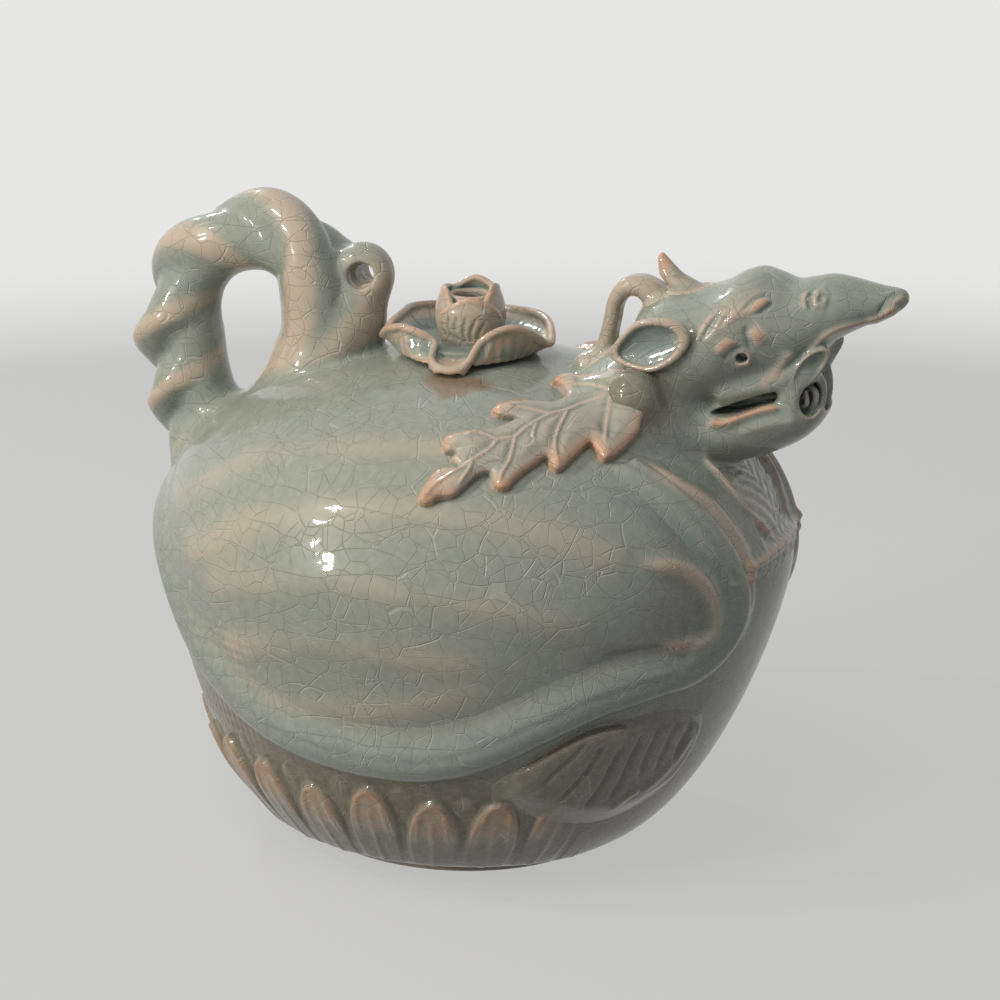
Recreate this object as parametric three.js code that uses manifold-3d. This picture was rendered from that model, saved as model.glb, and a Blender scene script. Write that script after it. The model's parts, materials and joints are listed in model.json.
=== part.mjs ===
// A turtle-shaped celadon ewer: a hollow body on a low foot, a dragon-turtle head that pours,
// a handle of two twisted stems with a cord lug, rolled shell rims and a lotus flower lid.
// Millimetres, +Z up, the head towards +X. The origin is on the foot's underside, below the
// middle of the widest level.
import * as THREE from "three";
import { mergeVertices } from "three/addons/utils/BufferGeometryUtils.js";
import Module from "manifold-3d";

const wasm = await Module();
wasm.setup();

// Body
const GAP = 0.3; // clearance where two luted pieces meet
const WALL = 5; // thickness of the moulded wall
const BELLY_Z = 92.5; // height of the widest level
const BELLY_LENGTH = 96.5; // half length there
const BODY_RATIO = 0.86; // half width over half length
const BASE_LENGTH = 48; // half length just above the foot
const BOWL_POWER = 1.22; // how full the bowl is under the belly
const LEAN = 6.6; // how far the foot stands back from the belly's middle
const LEAN_POWER = 1.5;
const DOME_TOP = 151.5;
const DOME_POWER = 2.3;
const FOOT_HEIGHT = 4;
const FOOT_LENGTH = 47;
const CROWN = 2; // half size of the level patch on the dome's top
const HIDDEN_BOTTOM = 1; // how far the bowl's curve would run on below the foot
const REACH = 200; // a block that cuts the body reaches this far

// Lid
const LID_X = -2.3; // where the filling mouth stands on the dome
const MOUTH_RADIUS = 17;
const FLANGE_RADIUS = 16.2;
const FLANGE_WALL = 3;
const FLANGE_DEPTH = 9;
const PLATE_Z = 151.8;
const PLATE_RADIUS = 20;
const PLATE_THICKNESS = 2.6;
const LID_PETALS = 5;
const PETAL_ROOT = 11.5; // radius where an outer petal starts
const LID_REACH = 26.5; // radius to the outer petals' tips
const LID_FACING = -79; // degrees from +X to the first outer petal, which points at the viewer
const BUD_PETALS = 5;
const BUD_RADIUS = 10;
const BUD_TOP = 169;
const TUBE_RADIUS = 6.4;
const TUBE_BORE = 4.7;

// Handle
const HANDLE_TURNS = 1.6; // how often the two stems wind round each other
const LUG = { x: -33.6, z: 172, outer: 7.6, bore: 3.2, thickness: 6 };

const CELADON = 0x9aa898;
const PINK_EDGE = 0xb59a84;
const OLIVE = 0x8a8468;

const degrees = THREE.MathUtils.degToRad;
const vector = ([x, y, z]) => new THREE.Vector3(x, y, z);

// A closed solid skinned over rings of points that all go round the same way. Each end is closed
// by strips across its ring, from a point to the one that faces it, so that a bent sheet's end
// stays inside the sheet.
function loft(rings) {
  const count = rings[0].length;
  const lastRing = (rings.length - 1) * count;
  const points = rings.flat();
  const faces = [];
  for (let i = 0; i < rings.length - 1; i++) {
    for (let j = 0; j < count; j++) {
      const a = i * count + j;
      const b = i * count + ((j + 1) % count);
      faces.push(a, b, b + count, a, b + count, a + count);
    }
  }
  for (let j = 0; j < count / 2 - 1; j++) {
    const facing = count - 1 - j;
    const strip = [j + 1, j, facing, j + 1, facing, facing - 1];
    faces.push(...strip);
    faces.push(...strip.reverse().map((point) => lastRing + point));
  }
  const geometry = new THREE.BufferGeometry().setFromPoints(points);
  geometry.setIndex(faces);
  return solid(geometry);
}

// A geometry as a solid that can be cut and joined, with its faces turned outwards.
function solid(geometry) {
  const bare = geometry.clone();
  bare.deleteAttribute("normal");
  bare.deleteAttribute("uv");
  const merged = mergeVertices(bare, 1e-3);
  const vertProperties = merged.attributes.position.array;
  const triVerts = new Uint32Array(merged.index.array);
  const made = new wasm.Manifold(new wasm.Mesh({ numProp: 3, vertProperties, triVerts }));
  if (made.volume() > 0) return made;
  triVerts.reverse();
  return new wasm.Manifold(new wasm.Mesh({ numProp: 3, vertProperties, triVerts }));
}

function cut(made, ...tools) {
  return tools.reduce((left, tool) => left.subtract(tool), made);
}

// The largest body of a solid, so that a cut leaves no crumbs.
function largest(made) {
  return made.decompose().reduce((best, body) => (body.volume() > best.volume() ? body : best));
}

const ewer = new THREE.Group();

// Adds a solid as a named mesh; side -1 adds its mirror image across the ewer's middle plane.
function add(name, made, color = CELADON, side = 1) {
  const { vertProperties, triVerts } = largest(made).getMesh();
  const positions = Float32Array.from(vertProperties, (v, i) => (i % 3 === 1 ? v * side : v));
  const faces = side > 0 ? triVerts : Uint32Array.from(triVerts).reverse();
  const geometry = new THREE.BufferGeometry();
  geometry.setAttribute("position", new THREE.BufferAttribute(positions, 3));
  geometry.setIndex(new THREE.BufferAttribute(faces, 1));
  geometry.computeVertexNormals();
  const glaze = new THREE.MeshStandardMaterial({ color, roughness: 0.2, metalness: 0 });
  const piece = new THREE.Mesh(geometry, glaze);
  piece.name = name;
  ewer.add(piece);
}

// Adds a piece on the ewer's right and its mirror image on the left.
function addPair(name, made, color) {
  add(name + "_right", made, color);
  add(name + "_left", made, color, -1);
}

// A ring of an ellipse round a centre, spanned by two half axes.
function ellipse(centre, half1, half2, sides) {
  return Array.from({ length: sides }, (_, j) => {
    const a = (2 * Math.PI * j) / sides;
    return centre.clone().addScaledVector(half1, Math.cos(a)).addScaledVector(half2, Math.sin(a));
  });
}

// A level ring, flattened across the ewer.
function levelRing(x, z, halfX, halfY, sides) {
  const centre = new THREE.Vector3(x, 0, z);
  return ellipse(centre, new THREE.Vector3(halfX, 0, 0), new THREE.Vector3(0, halfY, 0), sides);
}

// A solid swept along a smooth path, where each stop is [x, y, z, half width, half depth] and
// the width is measured across the path, level where it can be.
function sweep(stops, { sides = 12, steps = 16, grow = 0 } = {}) {
  const path = new THREE.CatmullRomCurve3(stops.map(vector));
  const sizes = new THREE.CatmullRomCurve3(stops.map((s) => new THREE.Vector3(s[3], s[4], 0)));
  const rings = [];
  for (let i = 0; i <= steps; i++) {
    const size = sizes.getPoint(i / steps);
    const along = path.getTangent(i / steps);
    const across = new THREE.Vector3(0, 1, 0).addScaledVector(along, -along.y).normalize();
    const up = new THREE.Vector3().crossVectors(along, across);
    across.multiplyScalar(size.x + grow);
    up.multiplyScalar(size.y + grow);
    rings.push(ellipse(path.getPoint(i / steps), across, up, sides));
  }
  return loft(rings);
}

// A prism of an outline [a, b] in the plane of two directions, run both ways from its origin.
function prism(outline, origin, dirA, dirB, depth) {
  const shape = outline.map(([a, b]) => new THREE.Vector2(a, b));
  if (THREE.ShapeUtils.isClockWise(shape)) shape.reverse();
  const normal = new THREE.Vector3().crossVectors(dirA, dirB);
  const place = (p, d) =>
    origin.clone().addScaledVector(dirA, p.x).addScaledVector(dirB, p.y).addScaledVector(normal, d);
  const count = shape.length;
  const faces = [];
  for (const [a, b, c] of THREE.ShapeUtils.triangulateShape(shape, [])) {
    faces.push(a, c, b, a + count, b + count, c + count);
  }
  for (let i = 0; i < count; i++) {
    const next = (i + 1) % count;
    faces.push(i, next, next + count, i, next + count, i + count);
  }
  const points = [-depth, depth].flatMap((d) => shape.map((p) => place(p, d)));
  const geometry = new THREE.BufferGeometry().setFromPoints(points);
  geometry.setIndex(faces);
  return solid(geometry);
}

function block(low, high) {
  const size = high.map((v, i) => v - low[i]);
  const centre = high.map((v, i) => (v + low[i]) / 2);
  return solid(new THREE.BoxGeometry(...size).translate(...centre));
}

// A solid turned round an upright axis from a profile of [radius, height].
function turned(profile, x, z, sides = 32) {
  const points = profile.map(([r, height]) => new THREE.Vector2(r, height));
  return solid(new THREE.LatheGeometry(points, sides).rotateX(Math.PI / 2).translate(x, 0, z));
}

// Body
// The body's half length at a height, for a skin moved out by grow.
function halfLength(z, grow) {
  if (z < BELLY_Z) {
    const k = Math.min(1, (BELLY_Z - z) / (BELLY_Z - FOOT_HEIGHT + grow + HIDDEN_BOTTOM));
    const swell = Math.sqrt(1 - Math.pow(k, BOWL_POWER));
    return BASE_LENGTH + grow + (BELLY_LENGTH - BASE_LENGTH) * swell;
  }
  const k = Math.min(1, (z - BELLY_Z) / (DOME_TOP - BELLY_Z + grow));
  return (BELLY_LENGTH + grow) * Math.sqrt(1 - Math.pow(k, DOME_POWER));
}

function leanAt(z) {
  const k = Math.max(0, (BELLY_Z - z) / (BELLY_Z - FOOT_HEIGHT));
  return -LEAN * Math.pow(k, LEAN_POWER);
}

const BODY_SIDES = 36;
const BODY_RINGS = 18;
function bodySolid(grow = 0, low = FOOT_HEIGHT + GAP - grow) {
  const top = DOME_TOP + grow;
  const rings = [];
  for (let i = 0; i < BODY_RINGS; i++) {
    const z = low + ((top - low) * (1 - Math.cos((Math.PI * i) / BODY_RINGS))) / 2;
    const half = halfLength(z, grow);
    rings.push(levelRing(leanAt(z), z, half, half * BODY_RATIO, BODY_SIDES));
  }
  return loft([...rings, levelRing(0, top, CROWN, CROWN, BODY_SIDES)]);
}

const bodyKeepOut = bodySolid(GAP);

const bodyHollow = bodySolid(-WALL, FOOT_HEIGHT + WALL);
const THROUGH = 20; // the filling mouth's cut runs this far each way
const mouthCut = [[0, -THROUGH], [MOUTH_RADIUS, -THROUGH], [MOUTH_RADIUS, THROUGH], [0, THROUGH]];
const mouthHole = turned(mouthCut, LID_X, DOME_TOP);

// The way that the wine takes, each stop [x, y, z, half width, half depth].
const POUR_PATH = [
  [46, 0, 116, 9, 9],
  [55, 0, 133, 8, 8],
  [66, 0, 145, 7, 6],
  [80, 0, 149.5, 6.5, 4.5],
  [96, 0, 152.5, 6.5, 4.5],
  [112, 0, 154, 6.5, 4.5],
];
const pourWay = sweep(POUR_PATH, { steps: 14 });

// A bowl moulded in two halves and a dome, luted together at the belly, on a flat foot.
const aboveBelly = block([-REACH, -REACH, BELLY_Z - GAP / 2], [REACH, REACH, REACH]);
const belowBelly = block([-REACH, -REACH, -REACH], [REACH, REACH, BELLY_Z + GAP / 2]);
const leftSide = block([-REACH, -GAP / 2, -REACH], [REACH, REACH, REACH]);
const bodyShell = cut(bodySolid(), bodyHollow, mouthHole, pourWay);
addPair("lower_body", cut(bodyShell, aboveBelly, leftSide));
add("upper_body", cut(bodyShell, belowBelly));
const footWidth = FOOT_LENGTH * BODY_RATIO;
const footRings = [0, FOOT_HEIGHT].map((z) => levelRing(-LEAN, z, FOOT_LENGTH, footWidth, BODY_SIDES));
add("foot", loft(footRings), PINK_EDGE);

// Head, jaw and neck
// Rings across the head's length, each [x, lowest, highest, half width].
const HEAD = [
  [51, 150, 166, 9],
  [54, 143, 171, 15],
  [60, 138, 174, 19.5],
  [68, 139, 175.5, 21.5],
  [76, 143.5, 178, 21],
  [84, 147.5, 181.5, 19],
  [91, 150, 181.5, 16.5],
  [97, 153, 179.8, 14.5],
  [103, 157, 181, 12.5],
  [109, 161.5, 181.6, 11],
  [115, 165.5, 180.8, 9],
  [121, 169.5, 179.7, 6.3],
  [126, 173.6, 178.8, 3.6],
  [128.3, 175.6, 177.8, 1.6],
];
const JAW = [
  [60, 124, 146, 16],
  [68, 123.5, 147, 18.5],
  [77, 124.5, 148, 17.5],
  [86, 126.5, 149, 15.5],
  [94, 129.5, 149.5, 13.5],
  [101, 134, 149.5, 11.5],
  [105.5, 139, 148.5, 8.5],
  [107, 142, 146.5, 4],
];
// Level rings of the neck, each [z, middle x, half length, half width].
const NECK = [
  [112, 46, 34, 42],
  [134, 48, 29, 37],
  [144, 52, 24, 30],
  [151, 56, 19, 22],
  [156, 60, 15, 17],
];

function crossRings(stations, grow, sides) {
  const last = stations.length - 1;
  return stations.map(([x, low, high, half], i) => {
    const end = i === 0 ? -grow : i === last ? grow : 0;
    const centre = new THREE.Vector3(x + end, 0, (low + high) / 2);
    const halfZ = new THREE.Vector3(0, 0, (high - low) / 2 + grow);
    return ellipse(centre, new THREE.Vector3(0, half + grow, 0), halfZ, sides);
  });
}

const headSolid = (grow = 0) => loft(crossRings(HEAD, grow, 24));
const jawSolid = (grow = 0) => loft(crossRings(JAW, grow, 20));
const neckSolid = (grow = 0) =>
  loft(NECK.map(([z, x, halfX, halfY]) => levelRing(x, z, halfX + grow, halfY + grow, 28)));
const headKeepOut = headSolid(GAP);
const jawKeepOut = jawSolid(GAP);
const neckKeepOut = neckSolid(GAP);

// The open corners of the mouth, seen through from side to side, as [x, z].
const SLOT = [[75.5, 143.2], [95, 149.6], [95, 153], [75.5, 146.6]];
const DIR_X = vector([1, 0, 0]);
const DIR_Z = vector([0, 0, 1]);
const SLOT_REACH = 40; // half the slot's length across the head
const mouthSlot = prism(SLOT, new THREE.Vector3(), DIR_X, DIR_Z, SLOT_REACH);

add("head", cut(headSolid(), bodyKeepOut, pourWay, mouthSlot));
add("lower_jaw", cut(jawSolid(), bodyKeepOut, headKeepOut, pourWay, mouthSlot));
add("neck", cut(neckSolid(), bodyKeepOut, headKeepOut, jawKeepOut, pourWay), OLIVE);
const onHead = (made) => cut(made, headKeepOut, jawKeepOut, neckKeepOut, bodyKeepOut);

const TONGUE = [
  [92, 0, 148.8, 3.6, 1],
  [98, 0, 149.6, 3.6, 1],
  [104, 0, 150.2, 3.4, 1],
  [107.5, 0, 150.4, 2.4, 0.9],
];
add("tongue", sweep(TONGUE, { sides: 10, steps: 8 }), PINK_EDGE);

const HORN = [[67, 0, 171, 5.5, 6.5], [62, 0, 177.5, 3.6, 4], [56.8, 0, 183.5, 1, 1]];
add("horn", onHead(sweep(HORN, { sides: 10, steps: 6 })), PINK_EDGE);
const hornKeepOut = sweep(HORN, { sides: 10, steps: 6, grow: GAP });
const CREST_LOOP = [
  [62, 0, 170, 4.5, 3],
  [55, 0, 174.5, 4.5, 3],
  [48.5, 0, 174, 4.5, 3],
  [44, 0, 169, 4.5, 3],
  [43, 0, 161, 4.5, 3],
  [41.5, 0, 152, 4.5, 3],
  [38, 0, 143, 4.5, 3],
];
add("crest_loop", cut(onHead(sweep(CREST_LOOP, { sides: 10, steps: 18 })), hornKeepOut));

// An ear is a shallow oval dish that faces out and a little forwards.
const EAR = [[0, 0], [0.9, 1.2], [1.02, 4.2], [0.9, 4.6], [0.74, 3], [0, 2]];
const EAR_LENGTH = 11.5;
const EAR_HEIGHT = 7.8;
const EAR_PLACE = [59.5, -19.6, 160.8];
const EAR_TILT = degrees(-11); // its front end stands higher
const EAR_TURN = degrees(-6); // it faces a little forwards
function ear(grow) {
  const dish = new THREE.LatheGeometry(EAR.map(([r, y]) => new THREE.Vector2(r, y)), 20);
  dish.rotateX(Math.PI).scale(EAR_LENGTH + grow, 1, EAR_HEIGHT + grow).translate(0, grow, 0);
  return solid(dish.rotateY(EAR_TILT).rotateZ(EAR_TURN).translate(...EAR_PLACE));
}
addPair("ear", onHead(ear(0)));

const BROW = [[74, -15, 168, 2.6, 2.6], [82, -13.5, 173, 3.4, 3.4], [90, -9, 178, 2.4, 2.4]];
addPair("brow", onHead(sweep(BROW, { sides: 8, steps: 8 })), PINK_EDGE);
const EYE_RADIUS = 4.6;
const EYE_PLACE = [84.5, -16, 160.5];
addPair("eye", onHead(solid(new THREE.SphereGeometry(EYE_RADIUS, 14, 10).translate(...EYE_PLACE))));
const LIP_CURL = [
  [90, -12.5, 156.5, 2, 2.4],
  [97, -12.2, 156, 3.2, 3.6],
  [103, -10, 159.5, 3, 3.2],
  [106, -8, 164, 1.6, 1.6],
];
addPair("lip_curl", onHead(sweep(LIP_CURL, { sides: 10, steps: 10 })), PINK_EDGE);
const KNOB_RADIUS = 6.5;
const KNOB_PLACE = [53, -25, 147];
const knob = (grow) => {
  const ball = new THREE.SphereGeometry(KNOB_RADIUS + grow, 14, 10);
  return solid(ball.translate(...KNOB_PLACE));
};
addPair("neck_knob", onHead(knob(0)), OLIVE);

// Reliefs
// Points of a smooth closed outline through the given ones.
function smoothOutline(points, count) {
  const curve = new THREE.CatmullRomCurve3(points.map(([a, b]) => new THREE.Vector3(a, b, 0)), true);
  return curve.getPoints(count).slice(0, count).map((p) => [p.x, p.y]);
}

// A relief is what an outline cuts from the skin between the body's surface and a rise over it.
const RELIEF_REACH = 30; // half the length of the column that an outline cuts
function relief(outline, origin, dirA, dirB, rise) {
  const column = prism(outline, origin, dirA, dirB, RELIEF_REACH);
  const skin = bodySolid(rise).add(neckSolid(rise)).subtract(bodyKeepOut).subtract(neckKeepOut);
  return cut(column.intersect(skin), headKeepOut, jawKeepOut);
}

// The mane leaf, as [along, across] its rib: the tip, four lobes below and three above.
const LEAF_ORIGIN = vector([49, -12, 145.5]);
const LEAF_ALONG = vector([-0.566, -0.749, -0.343]).normalize();
const LEAF_ACROSS = vector([0.709, -0.23, -0.667]).normalize();
const LEAF_RISE = 3;
const LEAF = [
  [-2, -5], [5, -7], [13, -14], [20, -6.5], [30, -8], [37, -13], [43, -5.5], [50, -6], [57, -10.5],
  [62, -4.5], [73, 0], [63, 4], [54, 9.5], [47, 5.5], [37, 13.4], [30, 7], [23, 17.5], [15, 8],
  [5, 13.5], [-2, 6],
];
const leaf = relief(smoothOutline(LEAF, 48), LEAF_ORIGIN, LEAF_ALONG, LEAF_ACROSS, LEAF_RISE);
addPair("mane_leaf", cut(leaf, knob(GAP), ear(GAP)), PINK_EDGE);

// The rolled rim of the shell, along the body's side.
const RIM = [
  [-92, -14, 103, 4, 4], [-88, -30, 101, 4.6, 4.6], [-82.5, -42, 94, 5, 5], [-73, -49, 70, 5, 5],
  [-62, -56, 57, 5, 5], [-47, -64, 51.5, 5, 5], [-31.5, -69.5, 48.5, 5, 5], [-12, -71.5, 45.5, 5, 5],
  [10, -72, 45, 5, 5], [30, -69, 49.5, 5, 5], [46, -64, 56, 5, 5], [58.5, -58.5, 62.5, 5, 5],
  [71, -49.5, 67.5, 5, 5], [82, -38, 71, 5, 5], [90, -27.5, 80, 4.6, 4.6], [92.5, -25.5, 93, 4.4, 4.4],
  [89, -27.5, 108.5, 4, 4], [79, -29, 123.5, 3.6, 3.6], [64, -30, 136, 2.8, 2.8],
];
const rim = (grow) => sweep(RIM, { sides: 8, steps: 40, grow });
addPair("shell_rim", cut(rim(0), bodyKeepOut, neckKeepOut, headKeepOut, jawKeepOut));

// The front flippers press against the bowl under the rim, as [along, up].
const FLIPPER_ORIGIN = vector([60, -50, 44]);
const FLIPPER_ALONG = vector([0.62, 0.79, 0]).normalize();
const FLIPPER_UP = vector([-0.25, 0.2, 0.95]).normalize();
const FLIPPER_RISE = 4;
const FLIPPER = [[-22, 2], [-12, 14], [4, 20], [20, 20], [30, 8], [24, -10], [8, -22], [-12, -18]];
const pressed = smoothOutline(FLIPPER, 28);
const flipper = relief(pressed, FLIPPER_ORIGIN, FLIPPER_ALONG, FLIPPER_UP, FLIPPER_RISE);
addPair("flipper", cut(flipper, rim(GAP)));

// Handle
// The path that the two stems wind round, each stop [x, y, z, half width, half depth].
const HANDLE = [
  [-80, 0, 103, 11, 12], [-92, 0, 119, 11.5, 12], [-96.5, 0, 135, 11.5, 11.5], [-97, 0, 151, 11.5, 11.8],
  [-95, 0, 166, 11.5, 11.5], [-88, 0, 177, 11.5, 11.3], [-76, 0, 182.5, 11.5, 11.5],
  [-64, 0, 183, 12, 12.3], [-52.5, 0, 176.5, 12.5, 13], [-47, 0, 165, 13, 14], [-46.5, 0, 152, 13.5, 15],
  [-51, 0, 140, 15, 17], [-54, 0, 126, 16, 18],
];
const handlePath = new THREE.CatmullRomCurve3(HANDLE.map(vector));
const handleSize = new THREE.CatmullRomCurve3(HANDLE.map((s) => new THREE.Vector3(s[3], s[4], 0)));
// A stem's place and half sizes, as parts of the handle's own half size there.
const STEM_OFFSET = 0.4;
const STEM_DEPTH = 0.6;
const STEM_BREADTH = 0.9;
const STEM_PHASE = degrees(60);
const HANDLE_STEPS = 36;
function stem(phase, grow = 0) {
  const rings = [];
  for (let i = 0; i <= HANDLE_STEPS; i++) {
    const t = i / HANDLE_STEPS;
    const across = new THREE.Vector3(0, 1, 0);
    const inPlane = new THREE.Vector3().crossVectors(handlePath.getTangent(t), across);
    const size = handleSize.getPoint(t);
    const turn = phase + 2 * Math.PI * HANDLE_TURNS * t;
    const out = across.clone().multiplyScalar(size.x * Math.cos(turn));
    out.addScaledVector(inPlane, size.y * Math.sin(turn));
    const seam = across.clone().multiplyScalar(-size.x * Math.sin(turn));
    seam.addScaledVector(inPlane, size.y * Math.cos(turn));
    const centre = handlePath.getPoint(t).addScaledVector(out, STEM_OFFSET);
    out.multiplyScalar(STEM_DEPTH + grow / size.x);
    seam.multiplyScalar(STEM_BREADTH + grow / size.x);
    rings.push(ellipse(centre, out, seam, 12));
  }
  return loft(rings);
}
// The cord lug stands on the leg towards the lid, and its bore runs on through the stems' side.
const lugHalf = LUG.thickness / 2;
const lugProfile = [
  [LUG.bore, 1 - lugHalf],
  [LUG.bore + 1, -lugHalf],
  [LUG.outer - 2, -lugHalf],
  [LUG.outer, -lugHalf / 2],
  [LUG.outer, lugHalf / 2],
  [LUG.outer - 2, lugHalf],
  [LUG.bore + 1, lugHalf],
  [LUG.bore, lugHalf - 1],
  [LUG.bore, 1 - lugHalf],
].map(([r, y]) => new THREE.Vector2(r, y));
const lug = solid(new THREE.LatheGeometry(lugProfile, 24).translate(LUG.x, 0, LUG.z));
const lugBore = solid(new THREE.CylinderGeometry(LUG.bore, LUG.bore, 60, 24).translate(LUG.x, 0, LUG.z));
add("cord_lug", cut(lug, stem(STEM_PHASE, GAP), stem(STEM_PHASE + Math.PI, GAP)));
const offHandle = [bodyKeepOut, rim(GAP), lugBore];
add("handle_stem_1", cut(stem(STEM_PHASE), ...offHandle));
add("handle_stem_2", cut(stem(STEM_PHASE + Math.PI), stem(STEM_PHASE, GAP), ...offHandle));

// Lid
const plate = [[0, 0], [PLATE_RADIUS, 0], [PLATE_RADIUS, PLATE_THICKNESS], [0, PLATE_THICKNESS]];
add("lid_plate", turned(plate, LID_X, PLATE_Z));
const flange = [
  [FLANGE_RADIUS - FLANGE_WALL, -GAP - FLANGE_DEPTH],
  [FLANGE_RADIUS, -GAP - FLANGE_DEPTH],
  [FLANGE_RADIUS, -GAP],
  [FLANGE_RADIUS - FLANGE_WALL, -GAP],
  [FLANGE_RADIUS - FLANGE_WALL, -GAP - FLANGE_DEPTH],
];
add("lid_flange", turned(flange, LID_X, PLATE_Z));

// A petal is a bent sheet: place(u, v) gives its middle surface, u from root to tip, v across.
const STEP = 0.01; // how far apart two places are taken for a slope
const EDGE_SHARE = 0.12; // a petal's edge keeps at least the root of this of its thickness
function petal(place, thickness, stepsU = 7, stepsV = 8) {
  const rows = [];
  for (let i = 0; i <= stepsU; i++) {
    const front = [];
    const back = [];
    for (let j = 0; j <= stepsV; j++) {
      const u = i / stepsU;
      const v = (2 * j) / stepsV - 1;
      const alongU = place(u + STEP, v).sub(place(u - STEP, v));
      const alongV = place(u, v + STEP).sub(place(u, v - STEP));
      const normal = alongU.cross(alongV).normalize();
      const half = (thickness / 2) * Math.sqrt(Math.max(EDGE_SHARE, 1 - Math.pow(v, 4)));
      front.push(place(u, v).addScaledVector(normal, half));
      back.push(place(u, v).addScaledVector(normal, -half));
    }
    rows.push([...front, ...back.reverse()]);
  }
  return loft(rows);
}

// How wide a petal is along its length, as a part of its share of the circle.
function opening(u, widest, power) {
  const reach = Math.max(widest, 1 - widest) + 0.07;
  return Math.sqrt(Math.max(0.02, 1 - Math.pow(Math.abs(u - widest) / reach, power)));
}

function onLid(radius, angle, z) {
  return new THREE.Vector3(LID_X + radius * Math.cos(angle), radius * Math.sin(angle), z);
}

const plateTop = PLATE_Z + PLATE_THICKNESS + GAP;
for (let i = 0; i < LID_PETALS; i++) {
  const facing = degrees(LID_FACING + (360 / LID_PETALS) * i);
  const spread = degrees(180 / LID_PETALS - 4);
  const place = (u, v) => {
    const open = opening(u, 0.35, 2.2);
    const radius = PETAL_ROOT + (LID_REACH - PETAL_ROOT) * u * (1 - 0.12 * v * v);
    const height = 1.6 + 1.2 * u * u + 4.2 * v * v * open - 2.2 * Math.max(0, u - 0.6);
    return onLid(radius, facing + spread * open * v, plateTop + height);
  };
  add("lid_petal_" + (i + 1), petal(place, 2.2), PINK_EDGE);
}
for (let i = 0; i < BUD_PETALS; i++) {
  const facing = degrees(-70 + (360 / BUD_PETALS) * i);
  const spread = degrees(180 / BUD_PETALS - 3);
  const place = (u, v) => {
    const radius = BUD_RADIUS - 1.6 + 1.4 * Math.sin(Math.PI * u) + 1.2 * Math.pow(u, 4);
    const height = 0.2 + (BUD_TOP - 1 - plateTop) * u;
    return onLid(radius, facing + spread * opening(u, 0.4, 3) * v, plateTop + height);
  };
  add("bud_petal_" + (i + 1), petal(place, 1.8, 7, 6), PINK_EDGE);
}
const tubeHeight = BUD_TOP - plateTop;
const tube = [
  [TUBE_BORE, 0],
  [TUBE_RADIUS, 0],
  [TUBE_RADIUS, tubeHeight - 1],
  [TUBE_RADIUS - 0.7, tubeHeight],
  [TUBE_BORE, tubeHeight],
  [TUBE_BORE, 0],
];
add("bud_tube", turned(tube, LID_X, plateTop, 24));

export default ewer;
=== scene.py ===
import json
import math

import bpy
import numpy as np
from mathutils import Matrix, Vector


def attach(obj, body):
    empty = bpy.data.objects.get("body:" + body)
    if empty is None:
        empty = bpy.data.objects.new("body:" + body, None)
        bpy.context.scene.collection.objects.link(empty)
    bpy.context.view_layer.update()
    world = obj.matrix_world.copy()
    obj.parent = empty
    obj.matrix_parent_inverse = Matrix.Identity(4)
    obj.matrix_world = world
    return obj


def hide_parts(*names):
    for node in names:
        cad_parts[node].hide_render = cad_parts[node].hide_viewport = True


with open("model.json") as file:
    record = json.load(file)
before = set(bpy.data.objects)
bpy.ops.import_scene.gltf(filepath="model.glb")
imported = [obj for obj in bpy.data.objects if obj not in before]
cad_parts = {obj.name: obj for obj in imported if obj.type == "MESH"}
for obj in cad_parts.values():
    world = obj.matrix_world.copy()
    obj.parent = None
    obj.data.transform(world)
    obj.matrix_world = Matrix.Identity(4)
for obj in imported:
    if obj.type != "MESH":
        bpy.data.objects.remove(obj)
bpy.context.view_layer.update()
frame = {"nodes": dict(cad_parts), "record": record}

MM = 0.001

# Camera: the photograph's direction and distance.
AZIMUTH = 20
ELEVATION = 17
DISTANCE = 800 * MM
TARGET = Vector((7.9, 0, 105.3)) * MM
LENS = 96
SENSOR = 36

# The body's skin, in millimetres. Only the side y > 0 is described; the other is its mirror image.
BELLY_Z = 92.5
BELLY_LENGTH = 96.5
BODY_RATIO = 0.86
BASE_LENGTH = 48
BOWL_POWER = 1.22
LEAN = 6.6
LEAN_POWER = 1.5
DOME_TOP = 151.5
DOME_POWER = 2.3
BODY_LOW = 4.3
HUB_Z = 70.0
PROFILE_STEPS = 400
POLAR_STEPS = 1441
POLAR_BLUR = 22  # steps


def smooth_step(value, low, high):
    t = np.clip((value - low) / (high - low), 0.0, 1.0)
    return t * t * (3 - 2 * t)


def smooth_min(a, b, k):
    h = np.clip(0.5 + 0.5 * (b - a) / k, 0.0, 1.0)
    return b + (a - b) * h - k * h * (1 - h)


def smooth_max(a, b, k):
    return -smooth_min(-a, -b, k)


def slab(value, low, high):
    """The field of all that lies between two bounds."""
    return np.abs(value - (low + high) / 2) - (high - low) / 2


def value_at(table, place):
    """A table's second column at places along its first."""
    return np.interp(place, *np.array(table).T)


def body_profile():
    """The body's half section as points (half length, height) from the foot to the dome's top."""
    k = 1 - np.linspace(0, 1, PROFILE_STEPS) ** 1.5
    bowl_z = BELLY_Z - (BELLY_Z - BODY_LOW + 1) * k
    bowl = BASE_LENGTH + (BELLY_LENGTH - BASE_LENGTH) * np.sqrt(np.maximum(0, 1 - k**BOWL_POWER))
    turn = np.linspace(0, np.pi / 2, PROFILE_STEPS)[1:]
    dome = BELLY_LENGTH * np.cos(turn)
    dome_z = BELLY_Z + (DOME_TOP - BELLY_Z) * np.sin(turn) ** (2 / DOME_POWER)
    return np.concatenate([bowl, dome]), np.concatenate([bowl_z, dome_z])


def lean_at(z):
    k = np.clip((BELLY_Z - z) / (BELLY_Z - 4), 0.0, 1.2)
    return -LEAN * k**LEAN_POWER


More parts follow.
